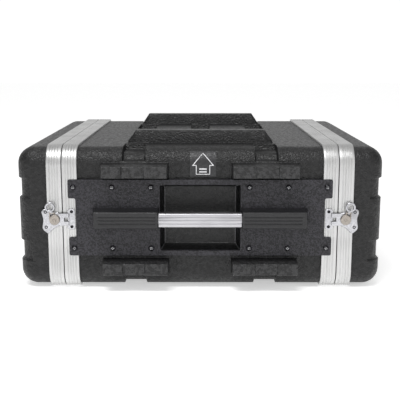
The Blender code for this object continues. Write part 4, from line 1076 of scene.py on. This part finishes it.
def wing(label, end, side):
    """The finger ring: a flattened wire loop that closes on a curled tail round the hinge pin."""
    mid = Vector((end * (WING_X + WING_LEAN), side * (WING_UNDER + WING_THICK / 2), WING_HINGE_Z + WING_RISE))
    shape = bmesh.new()
    rings = []
    turns, around = 36, 12
    for i in range(turns):
        angle = math.tau * i / turns
        out = Vector((math.cos(angle), 0.0, math.sin(angle)))
        ring = []
        for k in range(around):
            tilt = math.tau * k / around
            ring.append(mid + out * (WING_R + WING_WIRE * math.cos(tilt))
                        + Vector((0.0, WING_THICK / 2 * math.sin(tilt), 0.0)))
        rings.append(ring)
    skin(shape, rings, closed=True)
    tail = []
    for up, lean, half_x, half_y in ((0.0038, 1.0, 0.0026, 0.0009), (0.0024, 0.6, 0.0025, 0.0010),
                                     (0.0014, 0.1, 0.0023, 0.0010), (-0.0006, 0.0, 0.0022, 0.0009),
                                     (-0.0012, 0.0, 0.0018, 0.0006)):
        outline = rounded(half_x, half_y, half_y * 0.8, 4)
        tail.append([Vector((end * (WING_X + lean * WING_LEAN) + u, mid.y + v, WING_HINGE_Z + up))
                     for u, v in outline])
    skin(shape, tail)
    new_piece(f"{label}_ring", shape, ZINC, f"{label}_wing", [f"{label}_latch_wing"])


def stampings(label, end, side):
    """The claw, a slotted sheet with two prongs and a narrower tail, and the keeper that it lies over."""
    upper = [(CLAW_REACH, CLAW_HALF), (CLAW_REACH, CLAW_FORK_HALF),
             (CLAW_REACH + CLAW_FORK_DEEP, CLAW_FORK_HALF)]
    tail = [(KNOB_X + u, v) for u, v in CLAW_TAIL]
    outline = upper + [(x, -z) for x, z in upper[::-1] + tail] + tail[::-1]
    slot = [(KNOB_X + u * CLAW_SLOT_X, v * CLAW_SLOT_Z) for u, v in ((-1, -1), (1, -1), (1, 1), (-1, 1))]
    rims = [round_corners([Vector((end * x, LATCH_Z + z)) for x, z in loop], CLAW_ROUND)
            for loop in (outline, slot)]
    shape = bmesh.new()
    cut_sheet(shape, rims, CLAW_OVER - CLAW_UNDER, side, CLAW_UNDER)
    new_piece(f"{label}_hook", shape, ZINC, f"{label}_claw", [f"{label}_latch_claw"], sharp=20)
    new_piece(f"{label}_strike", softened(f"{label}_latch_keeper", 0.0005), ZINC, "case_body",
              [f"{label}_latch_keeper"], smooth=False)


def latches():
    for end_name, end in ENDS.items():
        for side_name, side in SIDES.items():
            label = f"{end_name}_{side_name}"
            latch_base(label, end, side, f"{end_name}_lid")
            knob(label, end, side)
            wing(label, end, side)
            stampings(label, end, side)


# ---- Screws and rivets ------------------------------------------------------------------------------
def placed_copies_tree():
    """Puts a copy of one fastener on each point, turned as the point says, each a little differently."""
    tree, given, out = node_group(
        "placed fasteners",
        [("Geometry", "Geometry", None), ("Fastener", "Object", None), ("Finish", "Material", None),
         ("Seed", "Int", None)],
        [("Geometry", "Geometry")], "GeometryNodeTree")
    head = add(tree, "GeometryNodeObjectInfo", Object=given.outputs["Fastener"])
    facing = add(tree, "GeometryNodeInputNamedAttribute", {"data_type": "FLOAT_VECTOR"}, Name="facing")
    chance = add(tree, "FunctionNodeRandomValue", {"data_type": "FLOAT"}, Seed=given.outputs["Seed"])
    chance.inputs[2].default_value = 0.0
    chance.inputs[3].default_value = math.pi / 2
    spin = add(tree, "ShaderNodeCombineXYZ", Z=chance.outputs[1])
    turn = add(tree, "FunctionNodeRotateEuler", {"space": "LOCAL"}, Rotation=facing.outputs["Attribute"],
               Rotate_By=spin.outputs[0])
    copies = add(tree, "GeometryNodeInstanceOnPoints", Points=given.outputs["Geometry"],
                 Instance=head.outputs["Geometry"], Rotation=turn.outputs[0])
    real = add(tree, "GeometryNodeRealizeInstances", Geometry=copies.outputs[0])
    finish = add(tree, "GeometryNodeSetMaterial", Geometry=real.outputs[0], Material=given.outputs["Finish"])
    give(tree, out.inputs["Geometry"], finish.outputs[0])
    return tree


COPIES = placed_copies_tree()

# Profiles as (radius, height); the cross as arm, half width, floor and top.
SCREW_PROFILE = ((0.0020, -0.0060), (0.0020, 0.0), (0.0046, 0.0), (0.0046, 0.0006), (0.0044, 0.0011),
                 (0.0037, 0.0017), (0.0025, 0.0021), (0.0012, 0.0023))
SCREW_CROSS = (0.0021, 0.00055, 0.0007, 0.0024)
RIVET_PROFILE = ((0.0012, -0.0012), (0.0025, -0.0012), (0.0026, 0.0002), (0.0023, 0.0006),
                 (0.0018, 0.0007), (0.0013, 0.0004), (0.0012, -0.0008))
STRIKE_X, STRIKE_Z = 0.2040, 0.0121


def fastener(name, profile, sides, recess):
    """A turned head that points up +Z, with a cross cut in it where recess gives the cross's sizes."""
    shape = bmesh.new()
    skin(shape, [[Vector((r * math.cos(math.tau * i / sides), r * math.sin(math.tau * i / sides), z))
                  for i in range(sides)] for r, z in profile])
    head = solid_object(name, shape)
    if recess:
        arm, half, floor, top = recess
        corners = [(half, half), (half, arm), (-half, arm), (-half, half), (-arm, half), (-arm, -half),
                   (-half, -half), (-half, -arm), (half, -arm), (half, -half), (arm, -half), (arm, half)]
        shape = bmesh.new()
        skin(shape, [[Vector((u * scale, v * scale, z)) for u, v in corners]
                     for z, scale in ((floor, 0.6), (top, 1.0), (top + 0.002, 1.1))])
        cross = solid_object(f"{name}_recess", shape)
        cut = head.modifiers.new("recess", "BOOLEAN")
        cut.operation = "DIFFERENCE"
        cut.solver = "EXACT"
        cut.object = cross
        graph = bpy.context.evaluated_depsgraph_get()
        solid = bpy.data.meshes.new_from_object(head.evaluated_get(graph))
        head.modifiers.clear()
        head.data = solid
        bpy.data.objects.remove(cross)
        # marks the cross recess, which the material paints pale as a painted glint
        wear_and_glint = solid.attributes.new("wear_and_glint", "FLOAT", "POINT")
        for i, vertex in enumerate(solid.vertices):
            reach = math.hypot(vertex.co.x, vertex.co.y)
            wear_and_glint.data[i].value = 1.0 if reach < arm * 0.8 and vertex.co.z >= floor else 0.0
    return head


def place_fasteners(name, head, places, material, body, seed, stands_for=()):
    """places holds (x, y, z, side); heads face out along Y."""
    points = bpy.data.meshes.new(f"{name}_points")
    points.from_pydata([place[:3] for place in places], [], [])
    facing = points.attributes.new("facing", "FLOAT_VECTOR", "POINT")
    for i, place in enumerate(places):
        facing.data[i].vector = Euler((-place[3] * math.pi / 2, 0.0, 0.0))
    carrier = link_object(f"{name}_carrier", points)
    modifier = carrier.modifiers.new("copies", "NODES")
    modifier.node_group = COPIES
    wanted = {"Fastener": head, "Finish": material, "Seed": seed}
    for item in COPIES.interface.items_tree:
        if item.in_out == "INPUT" and item.name in wanted:
            modifier[item.identifier] = wanted[item.name]
    graph = bpy.context.evaluated_depsgraph_get()
    mesh = bpy.data.meshes.new_from_object(carrier.evaluated_get(graph))
    bpy.data.objects.remove(carrier)
    shape = bmesh.new()
    shape.from_mesh(mesh)
    new_piece(name, shape, material, body, stands_for, sharp=40)


def fasteners():
    screw = fastener("pan_head", SCREW_PROFILE, 20, SCREW_CROSS)
    rivet = fastener("eyelet", RIVET_PROFILE, 18, None)
    places, corner_nodes = [], []
    for side_name, side in SIDES.items():
        for end_name, end in ENDS.items():
            places += [(end * x, side * (PLATE_FACE + CLEAR), PLATE_Z + row * SCREW_Z, side)
                       for row in (-1, 1) for x in SCREW_XS]
            corner_nodes += [f"{end_name}_{side_name}_{row}_screw" for row in ("upper", "lower")]
    place_fasteners("plate_screws", screw, places, BLACK_STEEL, "case_body", 7, corner_nodes)
    for end_name, end in ENDS.items():
        places = [(end * (KNOB_X + u), side * LATCH_TOP, LATCH_Z + v, side)
                  for side in SIDES.values() for u, v in RIVETS]
        place_fasteners(f"{end_name}_latch_rivets", rivet, places, BLACK_STEEL, f"{end_name}_lid",
                        3)
    places = [(end * STRIKE_X, side * LATCH_TOP, LATCH_Z + row * STRIKE_Z, side)
              for end in ENDS.values() for side in SIDES.values() for row in (-1, 1)]
    place_fasteners("strike_rivets", rivet, places, BLACK_STEEL, "case_body", 5)
    for head in (screw, rivet):
        bpy.data.objects.remove(head)


# ---- Label --------------------------------------------------------------------------------------------
LABEL_X, LABEL_WIDE = 0.0045, 0.041
LABEL_LOW = 0.1840
LABEL_SWEEP = math.radians(51)
FILM_UNDER, FILM_OVER = 0.0002, 0.0005
FILM_STEPS = 12
INK_UNDER, INK_OVER = 0.00045, 0.0006
ARROW_STROKE, ARROW_HEAD, ARROW_SHAFT = 0.0011, 0.0176, 0.0112
ARROW_LOW, ARROW_NECK, ARROW_TIP = 0.0035, 0.0175, 0.0385
BAR_ROWS = (0.0068, 0.0112)
LABEL_TALL = SHELL_HIGH - CORNER_R - LABEL_LOW + LABEL_SWEEP * CORNER_R


def on_label(u, s, lift):
    """A point on the right side's rounded edge: u across the label, s up along the surface."""
    flat = SHELL_HIGH - CORNER_R - LABEL_LOW
    if s <= flat:
        return Vector((LABEL_X + u, -(HALF_Y + lift), LABEL_LOW + s))
    angle = (s - flat) / CORNER_R
    return Vector((LABEL_X + u, -FLAT_Y - (CORNER_R + lift) * math.cos(angle),
                   SHELL_HIGH - CORNER_R + (CORNER_R + lift) * math.sin(angle)))


def divided(points, pieces=6):
    """A closed outline with each side cut in equal pieces."""
    line = []
    for i, point in enumerate(points):
        following = points[(i + 1) % len(points)]
        for step in range(pieces):
            t = step / pieces
            line.append((point[0] + (following[0] - point[0]) * t, point[1] + (following[1] - point[1]) * t))
    return line


def arrow_label():
    """A thin film bent over the edge, with an outline arrow and two bars printed on it."""
    mid, crown = LABEL_TALL / 2, FILM_OVER + 0.00005
    outline = divided(rounded(LABEL_WIDE / 2, mid, 0.0015, 3, (0.0, mid)), 4)

    def ring(shrink, lift):
        return [on_label(u * shrink, mid + (s - mid) * shrink, lift) for u, s in outline]

    shares = [1 - step / FILM_STEPS for step in range(1, FILM_STEPS)]
    shape = bmesh.new()
    skin(shape, [ring(0.97 * share, FILM_UNDER) for share in shares[::-1]]
         + [ring(0.97, FILM_UNDER), ring(1.0, FILM_UNDER), ring(1.0, FILM_OVER), ring(0.985, crown)]
         + [ring(0.985 * share, crown) for share in shares])
    new_piece("film", shape, FILM, "case_body", ["arrow_label"])

    stroke, head, shaft = ARROW_STROKE, ARROW_HEAD, ARROW_SHAFT
    low, neck, tip = ARROW_LOW, ARROW_NECK, ARROW_TIP
    outer = divided([(-shaft, low), (shaft, low), (shaft, neck), (head, neck), (0.0, tip), (-head, neck),
                     (-shaft, neck)])
    thin, hem = shaft - stroke, neck + stroke
    inner = divided([(-thin, low + stroke), (thin, low + stroke), (thin, hem), (head - stroke * 2.4, hem),
                     (0.0, tip - stroke * 1.6), (-head + stroke * 2.4, hem), (-thin, hem)])
    shape = bmesh.new()
    section = ((outer, INK_UNDER), (outer, INK_OVER), (inner, INK_OVER), (inner, INK_UNDER))
    skin(shape, [[on_label(u, s, lift) for u, s in loop] for loop, lift in section], closed=True)
    for row in BAR_ROWS:
        bar = divided([(-0.0058, row), (0.0058, row), (0.0058, row + 0.0022), (-0.0058, row + 0.0022)], 3)
        skin(shape, [[on_label(u, s, lift) for u, s in bar] for lift in (INK_UNDER, INK_OVER)])
    new_piece("film_arrow", shape, INK, "case_body")


# ---- Light, floor and camera ------------------------------------------------------------------------
def soft_box(name, place, aim, size, power):
    lamp = bpy.data.lights.new(name, "AREA")
    lamp.shape = "RECTANGLE"
    lamp.size, lamp.size_y = size
    lamp.energy = power
    made = link_object(name, lamp)
    made.location = place
    made.rotation_euler = (Vector(aim) - Vector(place)).to_track_quat("-Z", "Y").to_euler()


def studio():
    scene = bpy.context.scene
    scene.view_settings.view_transform = "Standard"
    world = bpy.data.worlds.new("white studio")
    world.use_nodes = True
    scene.world = world
    tree = world.node_tree
    sky = tree.nodes["Background"]
    sky.inputs["Color"].default_value = (1.0, 1.0, 1.0, 1.0)
    direction = tree.nodes.new("ShaderNodeTexCoord").outputs["Generated"]
    height = spread(tree, add(tree, "ShaderNodeSeparateXYZ", Vector=direction).outputs["Z"], 0.25, 0.80,
                    0.80, 0.55)
    aside = spread(tree, size_along(tree, direction, "X"), 0.40, 0.90, 1.0, 0.40)
    seen = tree.nodes.new("ShaderNodeLightPath").outputs["Is Camera Ray"]
    strength = add(tree, "ShaderNodeMix", Factor=seen)
    give(tree, strength.inputs[2], combine(tree, "MULTIPLY", height, aside))
    give(tree, strength.inputs[3], 1.05)
    give(tree, sky.inputs["Strength"], strength.outputs[0])

    paper, tree, shader, place = new_material("white paper")
    fibre = add(tree, "ShaderNodeTexNoise", Vector=place, Scale=40.0, Detail=3.0)
    give(tree, shader.inputs["Base Color"],
         blend_colour(tree, fibre.outputs["Fac"], (0.90, 0.90, 0.90), (0.94, 0.94, 0.94)))
    shader.inputs["Roughness"].default_value = 0.9
    shader.inputs["Specular IOR Level"].default_value = 0.1
    shader.inputs["Emission Color"].default_value = (1.0, 1.0, 1.0, 1.0)
    shader.inputs["Emission Strength"].default_value = 0.50
    mesh = bpy.data.meshes.new("floor")
    reach = 8.0
    mesh.from_pydata([(-reach, -reach, 0), (reach, -reach, 0), (reach, reach, 0), (-reach, reach, 0)], [],
                     [(0, 1, 2, 3)])
    mesh.materials.append(paper)
    floor = link_object("floor", mesh)

    soft_box("key", (-0.35, -1.15, 1.9), (0.0, 0.0, 0.10), (1.2, 0.40), 24.0)
    soft_box("fill", (1.5, -1.3, 0.9), (0.0, 0.0, 0.12), (0.9, 0.9), 2.5)

    camera = bpy.data.cameras.new("camera")
    camera.lens, camera.sensor_width = 71.05, 36.0
    made = link_object("camera", camera)
    made.location = (0.00136, -1.4841, 0.3804)
    made.rotation_euler = (math.radians(90 - 10.75), 0.0, math.radians(0.075))
    scene.camera = made


body_shell()
for lid_name in ENDS:
    lid_shell(lid_name)
edge_bands()
side_fittings()
latches()
fasteners()
arrow_label()
studio()
